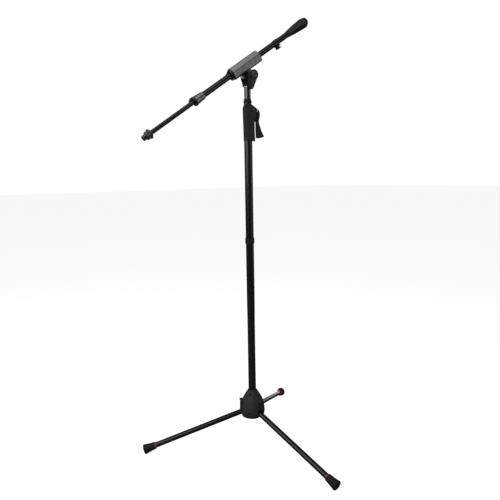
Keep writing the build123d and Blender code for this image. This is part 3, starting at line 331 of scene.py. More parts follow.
def flat_sided(size, count, softness=0.0):
    """Radius of a regular polygon given by its corner radius, with corners drawn in by a share."""

    def radius(angle, height):
        step = tau / count
        off = (angle % step) - step / 2
        side = size * cos(step / 2) / cos(off)
        return side - softness * size * max(0.0, abs(off) / (step / 2) - 0.8) ** 2 * 5

    return radius


def fluted(size, count, depth):
    """Radius of a knurled rim with round flutes."""

    def radius(angle, height):
        return size - depth * (0.5 - 0.5 * cos(count * angle)) ** 2

    return radius


def threaded(size, pitch, depth):
    """Radius of a screw thread, which climbs once round for each pitch."""

    def radius(angle, height):
        turn = (height / pitch - angle / tau) % 1.0
        return size - depth * min(1.0, abs(2 * turn - 1) * 1.25)

    return radius


# ------------------------------------------------------------------ shader groups
def group_sockets(name, inputs, outputs):
    """New shader group with its sockets: inputs as (name, type, default), outputs as (name, type)."""
    tree = bpy.data.node_groups.new(name, "ShaderNodeTree")
    for label, kind, default in inputs:
        socket = tree.interface.new_socket(label, in_out="INPUT", socket_type=kind)
        if default is not None:
            socket.default_value = default
    for label, kind in outputs:
        tree.interface.new_socket(label, in_out="OUTPUT", socket_type=kind)
    return tree, tree.nodes.new("NodeGroupInput"), tree.nodes.new("NodeGroupOutput")


def node(tree, kind, values=None, **settings):
    """New shader node with its settings and its unlinked input values."""
    made = tree.nodes.new(kind)
    for label, value in settings.items():
        setattr(made, label, value)
    for label, value in (values or {}).items():
        made.inputs[label].default_value = value
    return made


def grain_group():
    """Fine moulded or sprayed texture: its height, and a soft mottling."""
    number = "NodeSocketFloat"
    tree, inward, outward = group_sockets(
        "Surface grain",
        [
            ("Vector", "NodeSocketVector", None),
            ("Fine scale", number, 900.0),
            ("Broad scale", number, 40.0),
        ],
        [("Height", number), ("Mottle", number)],
    )
    fine = node(tree, "ShaderNodeTexNoise", {"Detail": 3.0, "Roughness": 0.6})
    broad = node(tree, "ShaderNodeTexNoise", {"Detail": 4.0, "Roughness": 0.55})
    for texture, scale in ((fine, "Fine scale"), (broad, "Broad scale")):
        tree.links.new(inward.outputs["Vector"], texture.inputs["Vector"])
        tree.links.new(inward.outputs[scale], texture.inputs["Scale"])
    tree.links.new(fine.outputs["Fac"], outward.inputs["Height"])
    spread = node(tree, "ShaderNodeMapRange", {"From Min": 0.3, "From Max": 0.7})
    tree.links.new(broad.outputs["Fac"], spread.inputs["Value"])
    tree.links.new(spread.outputs["Result"], outward.inputs["Mottle"])
    return tree


def wear_group():
    """Where edges are rubbed: the edge attribute broken up by noise."""
    number = "NodeSocketFloat"
    tree, inward, outward = group_sockets(
        "Edge wear",
        [("Vector", "NodeSocketVector", None), ("Scale", number, 120.0), ("Amount", number, 0.5)],
        [("Mask", number)],
    )
    edge = node(tree, "ShaderNodeAttribute", attribute_name=WEAR)
    noise = node(tree, "ShaderNodeTexNoise", {"Detail": 5.0, "Roughness": 0.7})
    tree.links.new(inward.outputs["Vector"], noise.inputs["Vector"])
    tree.links.new(inward.outputs["Scale"], noise.inputs["Scale"])
    patchy = node(tree, "ShaderNodeMapRange", {"From Min": 0.42, "From Max": 0.62})
    tree.links.new(noise.outputs["Fac"], patchy.inputs["Value"])
    both = node(tree, "ShaderNodeMath", operation="MULTIPLY")
    tree.links.new(edge.outputs["Fac"], both.inputs[0])
    tree.links.new(patchy.outputs["Result"], both.inputs[1])
    scaled = node(tree, "ShaderNodeMath", operation="MULTIPLY")
    tree.links.new(both.outputs["Value"], scaled.inputs[0])
    tree.links.new(inward.outputs["Amount"], scaled.inputs[1])
    tree.links.new(scaled.outputs["Value"], outward.inputs["Mask"])
    return tree


def streak_group():
    """Fine lines that run along Z of the vector, as brushing or sliding leaves them."""
    number = "NodeSocketFloat"
    tree, inward, outward = group_sockets(
        "Streaks",
        [("Vector", "NodeSocketVector", None), ("Scale", number, 700.0), ("Length", number, 0.02)],
        [("Height", number), ("Mask", number)],
    )
    stretch = node(tree, "ShaderNodeCombineXYZ", {"X": 1.0, "Y": 1.0})
    tree.links.new(inward.outputs["Length"], stretch.inputs["Z"])
    long = node(tree, "ShaderNodeVectorMath", operation="MULTIPLY")
    tree.links.new(inward.outputs["Vector"], long.inputs[0])
    tree.links.new(stretch.outputs["Vector"], long.inputs[1])
    lines = node(tree, "ShaderNodeTexNoise", {"Detail": 4.0, "Roughness": 0.65})
    tree.links.new(long.outputs["Vector"], lines.inputs["Vector"])
    tree.links.new(inward.outputs["Scale"], lines.inputs["Scale"])
    tree.links.new(lines.outputs["Fac"], outward.inputs["Height"])
    sparse = node(tree, "ShaderNodeMapRange", {"From Min": 0.55, "From Max": 0.75})
    tree.links.new(lines.outputs["Fac"], sparse.inputs["Value"])
    tree.links.new(sparse.outputs["Result"], outward.inputs["Mask"])
    return tree


def shared(name, build):
    """A shader group, built when it is first asked for."""
    return bpy.data.node_groups.get(name) or build()


def placed_group(tree, name, build, vector, values):
    """A shared group put in a material, fed with a vector and its own values."""
    made = tree.nodes.new("ShaderNodeGroup")
    made.node_tree = shared(name, build)
    tree.links.new(vector, made.inputs["Vector"])
    for label, value in values.items():
        made.inputs[label].default_value = value
    return made


# ------------------------------------------------------------------ finishes
def blend_colour(tree, factor, first, second):
    """Mix of two colours, each a socket or a plain colour, by a mask."""
    mix = node(tree, "ShaderNodeMix", data_type="RGBA")
    tree.links.new(factor, mix.inputs["Factor"])
    for place, colour in ((6, first), (7, second)):
        if isinstance(colour, bpy.types.NodeSocket):
            tree.links.new(colour, mix.inputs[place])
        else:
            mix.inputs[place].default_value = (*colour, 1.0)
    return mix.outputs[2]


def ranged(tree, value, low, high):
    """A mask from 0 to 1 spread between two numbers."""
    spread = node(tree, "ShaderNodeMapRange", {"To Min": low, "To Max": high})
    tree.links.new(value, spread.inputs["Value"])
    return spread.outputs["Result"]


def lit(colour, factor):
    """A colour made lighter or darker by a factor."""
    return tuple(min(1.0, part * factor) for part in colour)


def finish(name, colour, roughness, metallic=0.0, grain=(900.0, 40.0), bump=0.05, mottle=0.25,
           wear=0.3, worn_colour=None, streaks=None, along=UP):
    """Procedural finish: colour mottling, grain, rubbed edges and, if asked for, streaks.

    colour and worn_colour are linear RGB, roughness is its lowest and highest value, grain is the fine
    and the broad scale, bump is in millimetres, and streaks are their scale, stretch and brightness.
    """
    material = bpy.data.materials.get(name)
    if material is not None:
        return material
    colour = tuple(colour)
    material = bpy.data.materials.new(name)
    material.use_nodes = True
    tree = material.node_tree
    shader = tree.nodes["Principled BSDF"]
    shader.inputs["Metallic"].default_value = metallic
    place = node(tree, "ShaderNodeTexCoord").outputs["Object"]
    turned = node(tree, "ShaderNodeMapping")
    turned.inputs["Rotation"].default_value = along.rotation_difference(UP).to_euler()
    tree.links.new(place, turned.inputs["Vector"])
    vector = turned.outputs["Vector"]
    grained = placed_group(
        tree, "Surface grain", grain_group, vector, {"Fine scale": grain[0], "Broad scale": grain[1]}
    )
    rubbed = placed_group(tree, "Edge wear", wear_group, vector, {"Amount": wear})
    base = blend_colour(
        tree, grained.outputs["Mottle"], lit(colour, 1 - mottle), lit(colour, 1 + mottle)
    )
    rough = ranged(tree, grained.outputs["Mottle"], roughness[0], roughness[1])
    height = grained.outputs["Height"]
    if streaks:
        lines = placed_group(
            tree, "Streaks", streak_group, vector, {"Scale": streaks[0], "Length": streaks[1]}
        )
        base = blend_colour(tree, lines.outputs["Mask"], base, lit(colour, streaks[2]))
        summed = node(tree, "ShaderNodeMath", operation="ADD")
        tree.links.new(height, summed.inputs[0])
        tree.links.new(lines.outputs["Height"], summed.inputs[1])
        height = summed.outputs["Value"]
    base = blend_colour(tree, rubbed.outputs["Mask"], base, worn_colour or lit(colour, 3.0))
    tree.links.new(base, shader.inputs["Base Color"])
    tree.links.new(rough, shader.inputs["Roughness"])
    relief = node(tree, "ShaderNodeBump", {"Strength": 0.35, "Distance": bump * MM})
    tree.links.new(height, relief.inputs["Height"])
    tree.links.new(relief.outputs["Normal"], shader.inputs["Normal"])
    return material


def colours():
    """Colour settings of the scene."""
    return bpy.context.scene.stand_colours


def sizes():
    """Size settings of the scene."""
    return bpy.context.scene.stand_sizes


def powder_coat(label="mast", along=UP):
    """Semi-gloss black coat with a slight orange peel and faint sliding marks along the tube."""
    return finish(
        f"powder_coat_{label}", colours().powder, (0.2, 0.28), grain=(420.0, 9.0), bump=0.04,
        mottle=0.18, streaks=(260.0, 0.015, 1.8), along=along, worn_colour=(0.10, 0.10, 0.10),
    )


def black_nickel(label, along):
    """Dark polished plating, drawn along the tube."""
    return finish(
        f"black_nickel_{label}", colours().black_nickel, (0.16, 0.26), metallic=1.0, grain=(600.0, 12.0),
        bump=0.015, mottle=0.12, streaks=(500.0, 0.01, 1.25), along=along,
    )


def hub_plastic():
    """Coarse-grained plastic of the hub."""
    return finish(
        "hub_plastic", colours().hub, (0.42, 0.55), grain=(1500.0, 30.0), bump=0.10,
        mottle=0.2, wear=0.5,
    )


def moulded_plastic():
    """Plain black plastic of knobs, clips and bushes."""
    return finish(
        "moulded_plastic", colours().moulding, (0.34, 0.48), grain=(1100.0, 45.0), bump=0.05, wear=0.4,
    )


def soft_touch():
    """Dull rubbery coat of the grip."""
    return finish(
        "soft_touch", colours().grip, (0.62, 0.78), grain=(1700.0, 25.0), bump=0.06,
        mottle=0.14, wear=0.35,
    )


def rubber():
    """Black rubber, paler where it is rubbed."""
    return finish(
        "rubber", colours().rubber, (0.66, 0.85), grain=(1300.0, 60.0), bump=0.07, mottle=0.3,
        wear=0.6, worn_colour=(0.06, 0.058, 0.055),
    )


def red_trim():
    """Red plastic of the legs' trim rings."""
    return finish(
        "red_trim", colours().trim, (0.28, 0.4), grain=(1000.0, 80.0), bump=0.03, mottle=0.12,
        worn_colour=(0.6, 0.2, 0.15),
    )


def anodised(label="boom", along=BOOM_RUN):
    """Satin grey anodised aluminium, brushed along one direction."""
    return finish(
        f"anodised_{label}", colours().anodised, (0.36, 0.46), metallic=1.0, grain=(900.0, 18.0),
        bump=0.02, mottle=0.07, wear=0.8, worn_colour=(0.62, 0.62, 0.63), streaks=(900.0, 0.01, 1.15),
        along=along,
    )


def bright_steel(label="mast", along=UP):
    """Bright plated steel, brushed along one direction."""
    return finish(
        f"bright_steel_{label}", colours().bright_steel, (0.2, 0.32), metallic=1.0, grain=(700.0, 30.0),
        bump=0.015, mottle=0.08, streaks=(900.0, 0.02, 1.1), along=along, wear=0.2,
    )


def dark_steel():
    """Black oxide steel, worn through at its edges."""
    return finish(
        "dark_steel", colours().dark_steel, (0.3, 0.42), metallic=1.0, grain=(800.0, 60.0), bump=0.02,
        mottle=0.2, wear=0.9, worn_colour=(0.32, 0.32, 0.32),
    )


def acetal():
    """Pale slippery plastic of bushes and glides."""
    return finish(
        "acetal", colours().acetal, (0.35, 0.45), grain=(900.0, 30.0), bump=0.02, mottle=0.05, wear=0.0,
    )


def cast_iron():
    """Rough grey iron of the counterweight."""
    return finish(
        "cast_iron", colours().cast_iron, (0.55, 0.75), metallic=1.0, grain=(260.0, 60.0), bump=0.2,
        mottle=0.25, worn_colour=(0.3, 0.3, 0.3),
    )


def cover(material, *nodes):
    """Give CAD nodes that keep their own shape a finish."""
    for name in nodes:
        mesh = NODES[name].data
        mesh.materials.clear()
        mesh.materials.append(material)


# ------------------------------------------------------------------ repeated pieces
def tube_piece(node_name, where, material, end_radius=0.4 * MM):
    """Round tube with rounded ends, with the CAD tube's length, outer and inner radius."""
    start, end, outer = reach(node_name, where)
    inner = bore(node_name, where)
    bm = spun([(start, inner), (start, outer), (end, outer), (end, inner)], sizes().tube_steps)
    soften(bm, end_radius)
    return finished(f"{node_name}_smooth", bm, node_name, material, where)


def turned_piece(node_name, where, outline, material, width, count=64):
    """Piece turned from an outline, with its sharp edges rounded."""
    bm = soften(spun(outline, count), width)
    return finished(f"{node_name}_turned", bm, node_name, material, where)


def screw_head(radius, height, socket, depth, count=48):
    """Rounded screw head, standing on Z 0, with a six-sided socket in it."""
    bm = stack(
        [
            (0, radius),
            (height * 0.45, radius),
            (height * 0.85, radius * 0.86),
            (height, radius * 0.62),
            (height, flat_sided(socket, 6)),
            (height - depth, flat_sided(socket * 0.94, 6)),
        ],
        count,
    )
    return soften(bm, 0.12 * MM, angle=40)


def socket_screw(start, end, head, head_height, socket):
    """Shank and socketed head of a screw along Z, each a bmesh with its place."""
    base = end - head_height
    shank = sizes().screw_shank
    top = screw_head(head, head_height, socket, sizes().socket_depth)
    rod = spun([(start, 0), (start, shank), (base, shank), (base, 0)], 24)
    return [(top, Matrix.Translation((0, 0, base))), (rod, Matrix.Identity(4))]


def open_ends(bm):
    """Join the outer rim to the bore, in place of the two lids."""
    lids = [face for face in bm.faces if len(face.verts) > 8]
    bmesh.ops.delete(bm, geom=lids, context="FACES_ONLY")
    bmesh.ops.bridge_loops(bm, edges=[edge for edge in bm.edges if edge.is_boundary])


def spots(node_name):
    """Centres of the separate solids of a CAD node, as seen from above."""
    bm = bmesh.new()
    bm.from_mesh(NODES[node_name].data)
    bmesh.ops.remove_doubles(bm, verts=bm.verts, dist=0.002 * MM)
    left = set(bm.verts)
    found = []
    while left:
        waiting = [left.pop()]
        group = list(waiting)
        while waiting:
            vert = waiting.pop()
            for edge in vert.link_edges:
                other = edge.other_vert(vert)
                if other in left:
                    left.discard(other)
                    waiting.append(other)
                    group.append(other)
        low = Vector(min(vert.co[i] for vert in group) for i in range(3))
        high = Vector(max(vert.co[i] for vert in group) for i in range(3))
        found.append((low + high) / 2)
    bm.free()
    return sorted(found, key=lambda spot: (round(spot.z, 4), round(spot.x, 4), round(spot.y, 4)))


def half_length(node_name, where):
    """Half the length of the solid of a node that lies round Z of a local frame."""
    back = where.inverted()
    points = [back @ vert.co for vert in NODES[node_name].data.vertices]
    around = 4 * MM
    return max(abs(point.z) for point in points if sqrt(point.x**2 + point.y**2) < around)


class StandOperator:
    """What every operator of the stand shares."""

    bl_options = {"REGISTER", "UNDO"}


# ------------------------------------------------------------------ operators
class STAND_OT_tubes(StandOperator, bpy.types.Operator):
    """Mast, boom and leg tubes"""

    bl_idname = "stand.tubes"
    bl_label = "Tubes"

    def execute(self, context):
        tube_piece("lower_tube", MAST, powder_coat())
        tube_piece("upper_tube", MAST, black_nickel("mast", UP))
        tube_piece("boom_tube", BOOM, powder_coat("boom", BOOM_RUN))
        tube_piece("inner_tube", BOOM, powder_coat("boom", BOOM_RUN))
        for letter in LEGS:
            where = leg_frame(letter)
            run = where.to_3x3() @ UP
            tube_piece(f"leg_{letter}_tube", where, powder_coat(f"leg_{letter}", run))
        return {"FINISHED"}


class STAND_OT_legs(StandOperator, bpy.types.Operator):
    """Knuckles, trim rings and rubber feet of the three legs"""

    bl_idname = "stand.legs"
    bl_label = "Legs"

    def execute(self, context):
        for letter in LEGS:
            where = leg_frame(letter)
            finished_copy(f"leg_{letter}_knuckle", moulded_plastic(), sizes().edge_radius)
            self.ring(letter, where)
            self.foot(letter, where)
        return {"FINISHED"}

    def ring(self, letter, where):
        """Trim ring with its leading edge eased."""
        start, end, outer = reach(f"leg_{letter}_ring", where)
        inner = bore(f"leg_{letter}_ring", where)
        outline = [
            (start, inner),
            (start, outer - 0.5 * MM),
            (start + 0.5 * MM, outer),
            (end, outer),
            (end, inner),
        ]
        turned_piece(f"leg_{letter}_ring", where, outline, red_trim(), 0.2 * MM)

    def foot(self, letter, where):
        """Flared foot with grooves round its neck and tread rings in its end."""
        name = f"leg_{letter}_foot"
        _, tube_end, tube_r = reach(f"leg_{letter}_tube", where)
        start, end, rim = reach(name, where)
        neck = reach(f"leg_{letter}_ring", where)[2] + 0.6 * MM
        groove = sizes().tread_depth
        edge = 3.5 * MM
        rim_at = end - 1.5 * MM - edge
        length = rim_at - start
        outline = [(start, tube_r), (start, neck - 0.5 * MM), (start + 0.6 * MM, neck)]
        # two grooves round the neck, then the flare
        for place in (0.17, 0.27):
            at = start + place * length
            size = neck + (rim - neck) * (place * 0.85)
            outline += [(at, size), (at + 0.3 * MM, size - groove), (at + 1.3 * MM, size - groove)]
            outline += [(at + 1.6 * MM, size + 0.15 * MM)]
        for share in (0.42, 0.56, 0.7, 0.84, 1.0):
            bulge = -0.6 * MM * sin(pi * share)
            outline.append((start + share * length, neck + (rim - neck) * share + bulge))
        for step in range(1, 7):
            turn = step * pi / 12
            outline.append((rim_at + edge * sin(turn), rim - edge * (1 - cos(turn))))
        # tread rings in the end
        face = rim - edge
        crown = end - edge - rim_at
        for share in (0.78, 0.5):
            size = face * share
            top = rim_at + edge + crown * (1 - share**2)
            outline += [(top, size + 1.0 * MM), (top - groove, size + 0.7 * MM)]
            outline += [(top - groove, size - 0.3 * MM), (top, size - 0.6 * MM)]
        outline += [(end, 0), (tube_end, 0), (tube_end, tube_r)]
        outline.append(outline[0])
        bm = spun(outline, 80)
        self.flatten(bm, where)
        bmesh.ops.remove_doubles(bm, verts=bm.verts, dist=0.002 * MM)
        soften(bm, 0.25 * MM, angle=35)
        finished(f"{name}_turned", bm, name, rubber(), where)

    def flatten(self, bm, where):
        """Press the rim flat where it stands on the floor."""
        back = where.inverted()
        for vert in bm.verts:
            world = where @ vert.co
            if world.z < 0:
                world.z = 0
                vert.co = back @ world


class STAND_OT_hub(StandOperator, bpy.types.Operator):
    """Leg hub, its cap, screws, hinge pins and the mast plug"""

    bl_idname = "stand.hub"
    bl_label = "Hub"

    def execute(self, context):
        finished_copy("hub_body", hub_plastic(), 0.7 * MM, angle=36)
        finished_copy("hub_cap", hub_plastic(), 0.5 * MM, angle=36)
        finished_copy("mast_plug", hub_plastic(), sizes().edge_radius)
        self.screws()
        self.pins()
        cover(acetal(), "hub_bush")
        cover(bright_steel(), "friction_ring")
        return {"FINISHED"}

    def screws(self):
        """Cap screws at the places of the CAD ones."""
        low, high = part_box("hub_screws")
        own = sizes()
        parts = []
        for spot in spots("hub_screws"):
            where = Matrix.Translation((spot.x, spot.y, 0))
            made = socket_screw(low.z, high.z, own.screw_head, 2.0 * MM, own.screw_socket)
            parts += [(bm, where @ place) for bm, place in made]
        finished("hub_screws_socketed", joined(parts), "hub_screws", dark_steel(), outwards=False)

    def pins(self):
        """Hinge pins with domed ends."""
        parts = []
        for letter in LEGS:
            across = Vector(JOINTS[f"leg_{letter}_fold"]["axis"])
            where = placed(pivot(f"leg_{letter}_fold"), across, UP)
            half = LEG_PIN_HALF
            dome = LEG_PIN_RADIUS - 1.4 * MM
            outline = [(-half, 0), (-half + 0.3 * MM, dome), (-half + 1.1 * MM, LEG_PIN_RADIUS)]
            outline += [(half - 1.1 * MM, LEG_PIN_RADIUS), (half - 0.3 * MM, dome), (half, 0)]
            parts.append((spun(outline, 40), where))
        finished("leg_pins_domed", joined(parts), "leg_pins", dark_steel(), outwards=False, smooth=50)


class STAND_OT_grip(StandOperator, bpy.types.Operator):
    """Height clutch: grip shells, trigger, screws and wiper seal"""

    bl_idname = "stand.grip"
    bl_label = "Grip"

    def execute(self, context):
        for side in ("left", "right"):
            finished_copy(f"grip_shell_{side}", soft_touch(), sizes().edge_radius, angle=34, segments=3)
        finished_copy("trigger", soft_touch(), sizes().edge_radius, angle=34, segments=3)
        finished_copy("clutch_head", moulded_plastic(), 0.3 * MM)
        finished_copy("clutch_plates", bright_steel(), sizes().machined_radius)
        self.wiper()
        self.screws()
        cover(acetal(), "clutch_base")
        cover(bright_steel(), "clutch_spring", "trigger_pin")
        return {"FINISHED"}

    def wiper(self):
        """Rubber seal with two thin fins."""
        start, end, fin = reach("wiper_seal", MAST)
        inner = bore("wiper_seal", MAST)
        neck = reach("clutch_head", MAST)[2] - 1.2 * MM
        body = fin - 3.0 * MM
        outline = [
            (start, inner),
            (start, fin),
            (start + 0.5 * MM, fin - 0.1 * MM),
            (start + 1.6 * MM, fin - 1.6 * MM),
            (start + 2.4 * MM, min(body, neck)),
            (start + 5.6 * MM, body - 0.2 * MM),
            (start + 6.9 * MM, body + 0.2 * MM),
            (start + 7.6 * MM, fin - 2.2 * MM),
            (start + 8.3 * MM, fin - 2.3 * MM),
            (end - 0.6 * MM, body - 0.9 * MM),
            (end, inner + 0.7 * MM),
            (end, inner),
        ]
        turned_piece("wiper_seal", MAST, outline, rubber(), 0.2 * MM)

    def screws(self):
        """Screws with hexagon sockets, set in from the side away from the trigger's axis."""
        own = sizes()
        parts = []
        for spot in spots("grip_screws"):
            where = placed(spot, -TRIGGER_SIDE, UP)
            half = half_length("grip_screws", where)
            made = socket_screw(-half, half, own.screw_head, 2.2 * MM, own.screw_socket)
            parts += [(bm, where @ place) for bm, place in made]
        finished("grip_screws_socketed", joined(parts), "grip_screws", dark_steel(), outwards=False)


class STAND_OT_mast_fittings(StandOperator, bpy.types.Operator):
    """Cable clip of the mast, glide and stud of the upper tube"""

    bl_idname = "stand.mast_fittings"
    bl_label = "Mast fittings"

    def execute(self, context):
        finished_copy("mast_clip", moulded_plastic(), 0.35 * MM)
        cover(acetal(), "upper_glide")
        cover(bright_steel(), "upper_stud")
        self.washer()
        return {"FINISHED"}

    def washer(self):
        """Bright washer under the swivel."""
        start, end, outer = reach("swivel_washer", MAST)
        inner = bore("swivel_washer", MAST)
        outline = [(start, inner), (start, outer), (end, outer), (end, inner)]
        turned_piece("swivel_washer", MAST, outline, bright_steel(), 0.5 * MM)


class STAND_OT_swivel(StandOperator, bpy.types.Operator):
    """Fork socket, pivot bolt, tilt lever and cap"""

    bl_idname = "stand.swivel"
    bl_label = "Swivel"

    def execute(self, context):
        finished_copy("swivel_socket", moulded_plastic(), 0.8 * MM, angle=34, segments=3)
        cover(moulded_plastic(), "tilt_washer", "friction_discs")
        finished_copy("tilt_lever", moulded_plastic(), 1.4 * MM, angle=34, segments=4)
        self.cap()
        self.bolt()
        return {"FINISHED"}

    def cap(self):
        """Screw cap of the lever with a ring groove and a hexagon socket."""
        start, end, outer = reach("lever_cap", SWIVEL_PIN)
        bm = stack(
            [
                (start, outer),
                (end - 1.0 * MM, outer),
                (end, outer - 1.4 * MM),
                (end, outer * 0.62),
                (end - 0.7 * MM, outer * 0.56),
                (end - 0.7 * MM, outer * 0.5),
                (end, outer * 0.45),
                (end, flat_sided(2.6 * MM, 6)),
                (end - 2.6 * MM, flat_sided(2.5 * MM, 6)),
            ],
            72,
        )
        soften(bm, 0.2 * MM)
        finished("lever_cap_socketed", bm, "lever_cap", dark_steel(), SWIVEL_PIN)

    def bolt(self):
        """Pivot bolt with its domed hexagon head on the far side."""
        start, end, head = reach("pivot_bolt", SWIVEL_PIN)
        shank = 4.0 * MM
        under = start + 5.0 * MM
        bm = stack(
            [
                (start + 1.8 * MM, flat_sided(2.6 * MM, 6)),
                (start, flat_sided(2.7 * MM, 6)),
                (start, head * 0.62),
                (start + 1.0 * MM, head * 0.86),
                (start + 2.6 * MM, head),
                (under, head),
                (under, shank),
                (end, shank),
            ],
            72,
        )
        soften(bm, 0.25 * MM)
        finished("pivot_bolt_domed", bm, "pivot_bolt", dark_steel(), SWIVEL_PIN)


def knob_piece(name, joint, material):
    """Lobed hand knob with a dished top, turned about its joint's axis."""
    where = placed(pivot(joint), Vector(JOINTS[joint]["axis"]), BOOM_RUN)
    start, end, outer = reach(name, where)
    foot = outer * 0.55
    lobes = 6
    bite = outer * 0.42
    out = outer + 2.0 * MM
    shoulder = start + 2.5 * MM

    def rim(share):
        """Lobed outline at a share of the knob's size."""
        return scalloped(outer * share, lobes, out * share, bite * share)

    bm = stack(
        [
            (start, foot),
            (shoulder - 0.6 * MM, foot * 0.94),
            (shoulder, foot * 1.05),
            (shoulder, rim(0.9)),
            (shoulder + 0.9 * MM, rim(1.0)),
            (end - 1.6 * MM, rim(1.0)),
            (end - 0.6 * MM, rim(0.95)),
            (end, rim(0.84)),
            (end, outer * 0.52),
            (end - 0.9 * MM, outer * 0.46),
            (end - 0.9 * MM, outer * 0.16),
            (end - 0.5 * MM, outer * 0.05),
        ],
        144,
    )
    soften(bm, 0.22 * MM, angle=38)
    return finished(f"{name}_lobed", bm, name, material, where)


def screw_piece(name, joint):
    """Steel screw of a hand knob, threaded along its length."""
    where = placed(pivot(joint), Vector(JOINTS[joint]["axis"]), BOOM_RUN)
    start, end, outer = reach(name, where)
    pitch = 0.8 * MM
    turns = threaded(outer, pitch, 0.35 * MM)
    steps = ceil((end - start) / pitch * 6)
    rise = (end - start) / steps
    bm = stack([(start + rise * step, turns) for step in range(steps + 1)], 24)
    steel = bright_steel("knobs", Vector((0, 1, 0)))
    return finished(f"{name}_threaded", bm, name, steel, where, smooth=60)


class STAND_OT_clamp(StandOperator, bpy.types.Operator):
    """Aluminium clamp block, its bushes, side screw and knob"""

    bl_idname = "stand.clamp"
    bl_label = "Clamp"

    def execute(self, context):
        finished_copy("clamp_block", anodised(), 0.8 * MM, angle=34, segments=3)
        for name in ("clamp_front_bush", "clamp_rear_bush"):
            finished_copy(name, moulded_plastic(), 0.35 * MM)
        self.side_screw()
        knob_piece("clamp_knob", "clamp_knob_turn", moulded_plastic())
        screw_piece("clamp_knob_screw", "clamp_knob_turn")
        return {"FINISHED"}

    def side_screw(self):
        """Screw in the near side of the block."""
        where = placed(middle("clamp_side_screw"), Vector((0, -1, 0)), UP)
        start, end, head = reach("clamp_side_screw", where)
        bm = joined(socket_screw(start, end, head, 1.8 * MM, 1.4 * MM))
        finished(
            "clamp_side_screw_socketed", bm, "clamp_side_screw", bright_steel(), where, outwards=False
        )


class STAND_OT_boom_lock(StandOperator, bpy.types.Operator):
    """Telescope lock: sleeve, front ring, star knob and its screw"""

    bl_idname = "stand.boom_lock"
    bl_label = "Boom lock"

    def execute(self, context):
        finished_copy("lock_sleeve", anodised(), 0.4 * MM, angle=34)
        start, end, outer = reach("lock_ring", BOOM)
        inner = bore("lock_ring", BOOM)
        ribs = fluted(outer, 36, 0.35 * MM)
        bm = stack(
            [
                (end, inner),
                (start, inner),
                (start, outer - 0.6 * MM),
                (start + 0.7 * MM, ribs),
                (end - 1.7 * MM, ribs),
                (end - 1.4 * MM, outer - 0.5 * MM),
                (end, outer - 2.0 * MM),
            ],
            216,
        )
        soften(bm, 0.2 * MM, angle=40)
        open_ends(bm)
        finished("lock_ring_ribbed", bm, "lock_ring", moulded_plastic(), BOOM)
        knob_piece("lock_knob", "lock_knob_turn", moulded_plastic())
        screw_piece("lock_knob_screw", "lock_knob_turn")
        finished_copy("boom_clip", moulded_plastic(), 0.35 * MM)
        return {"FINISHED"}


class STAND_OT_counterweight(StandOperator, bpy.types.Operator):
    """Six-sided counterweight with its slug and end cap"""

    bl_idname = "stand.counterweight"
    bl_label = "Counterweight"

    def execute(self, context):
        finished_copy("counterweight_casing", moulded_plastic(), 0.6 * MM, angle=14, segments=3)
        cover(cast_iron(), "counterweight_slug")
        start, end, outer = reach("counterweight_cap", BOOM)
        outline = [
            (end, 0),
            (end, outer),
            (start + 1.2 * MM, outer),
            (start + 0.3 * MM, outer - 1.2 * MM),
            (start + 0.3 * MM, outer * 0.66),
            (start + 0.9 * MM, outer * 0.62),
            (start + 0.9 * MM, outer * 0.5),
            (start + 0.2 * MM, outer * 0.46),
            (start, 0),
        ]
        turned_piece("counterweight_cap", BOOM, outline, moulded_plastic(), 0.25 * MM)
        return {"FINISHED"}


class STAND_OT_tip(StandOperator, bpy.types.Operator):
    """Threaded tip and its knurled lock nut"""

    bl_idname = "stand.tip"
    bl_label = "Tip"

    def execute(self, context):
        self.stud()
        self.nut()
        cover(acetal(), "inner_glide")
        return {"FINISHED"}

    def stud(self):
        """Stud with a real thread from its flange to its end."""
        start, end, flange = reach("tip_stud", BOOM)
        plug = bore("inner_tube", BOOM)
        seat = bore("lock_nut", BOOM) - 0.06 * MM
        tube_end = reach("inner_tube", BOOM)[1]
        flange_end = tube_end + 4.0 * MM
        thread_start = reach("lock_nut", BOOM)[1] + 0.4 * MM
        size = TIP_THREAD_RADIUS
        thread = threaded(size, sizes().thread_pitch, sizes().thread_depth)
        steps = ceil((end - thread_start) / sizes().thread_pitch * 8)
        rise = (end - thread_start) / steps
        sections = [(start, plug), (tube_end, plug), (tube_end, flange), (flange_end, flange)]
        sections += [(flange_end, seat), (thread_start - 0.1 * MM, seat)]

        def tapered(angle, height):
            """The thread, with its last turn cut back to a cone."""
            left = end - height
            return min(thread(angle, height), size - max(0.0, 1.0 * MM - left))

        sections += [(thread_start + rise * step, tapered) for step in range(steps + 1)]
        sections += [(end, 3.4 * MM), (end - 1.6 * MM, 3.0 * MM)]
        finished("tip_stud_threaded", stack(sections, 56), "tip_stud", dark_steel(), BOOM, smooth=28)

    def nut(self):
        """Flange nut with a fluted rim, open for the stud."""
        start, end, flange = reach("lock_nut", BOOM)
        inner = bore("lock_nut", BOOM)
        flutes = fluted(flange - 2.6 * MM, 24, sizes().knurl_depth)
        rim = start + 2.8 * MM
        bm = stack(
            [
                (start, inner),
                (start, flange - 0.5 * MM),
                (start + 0.6 * MM, flange),
                (rim - 0.6 * MM, flange),
                (rim, flange - 0.7 * MM),
                (rim + 0.2 * MM, flange - 3.0 * MM),
                (rim + 0.8 * MM, flutes),
                (end - 1.4 * MM, flutes),
                (end - 0.3 * MM, flange - 3.9 * MM),
                (end, flange - 4.5 * MM),
                (end, inner + 0.4 * MM),
                (end - 0.6 * MM, inner),
            ],
            192,
        )
        open_ends(bm)
        soften(bm, 0.2 * MM, angle=42)
        finished("lock_nut_knurled", bm, "lock_nut", dark_steel(), BOOM)


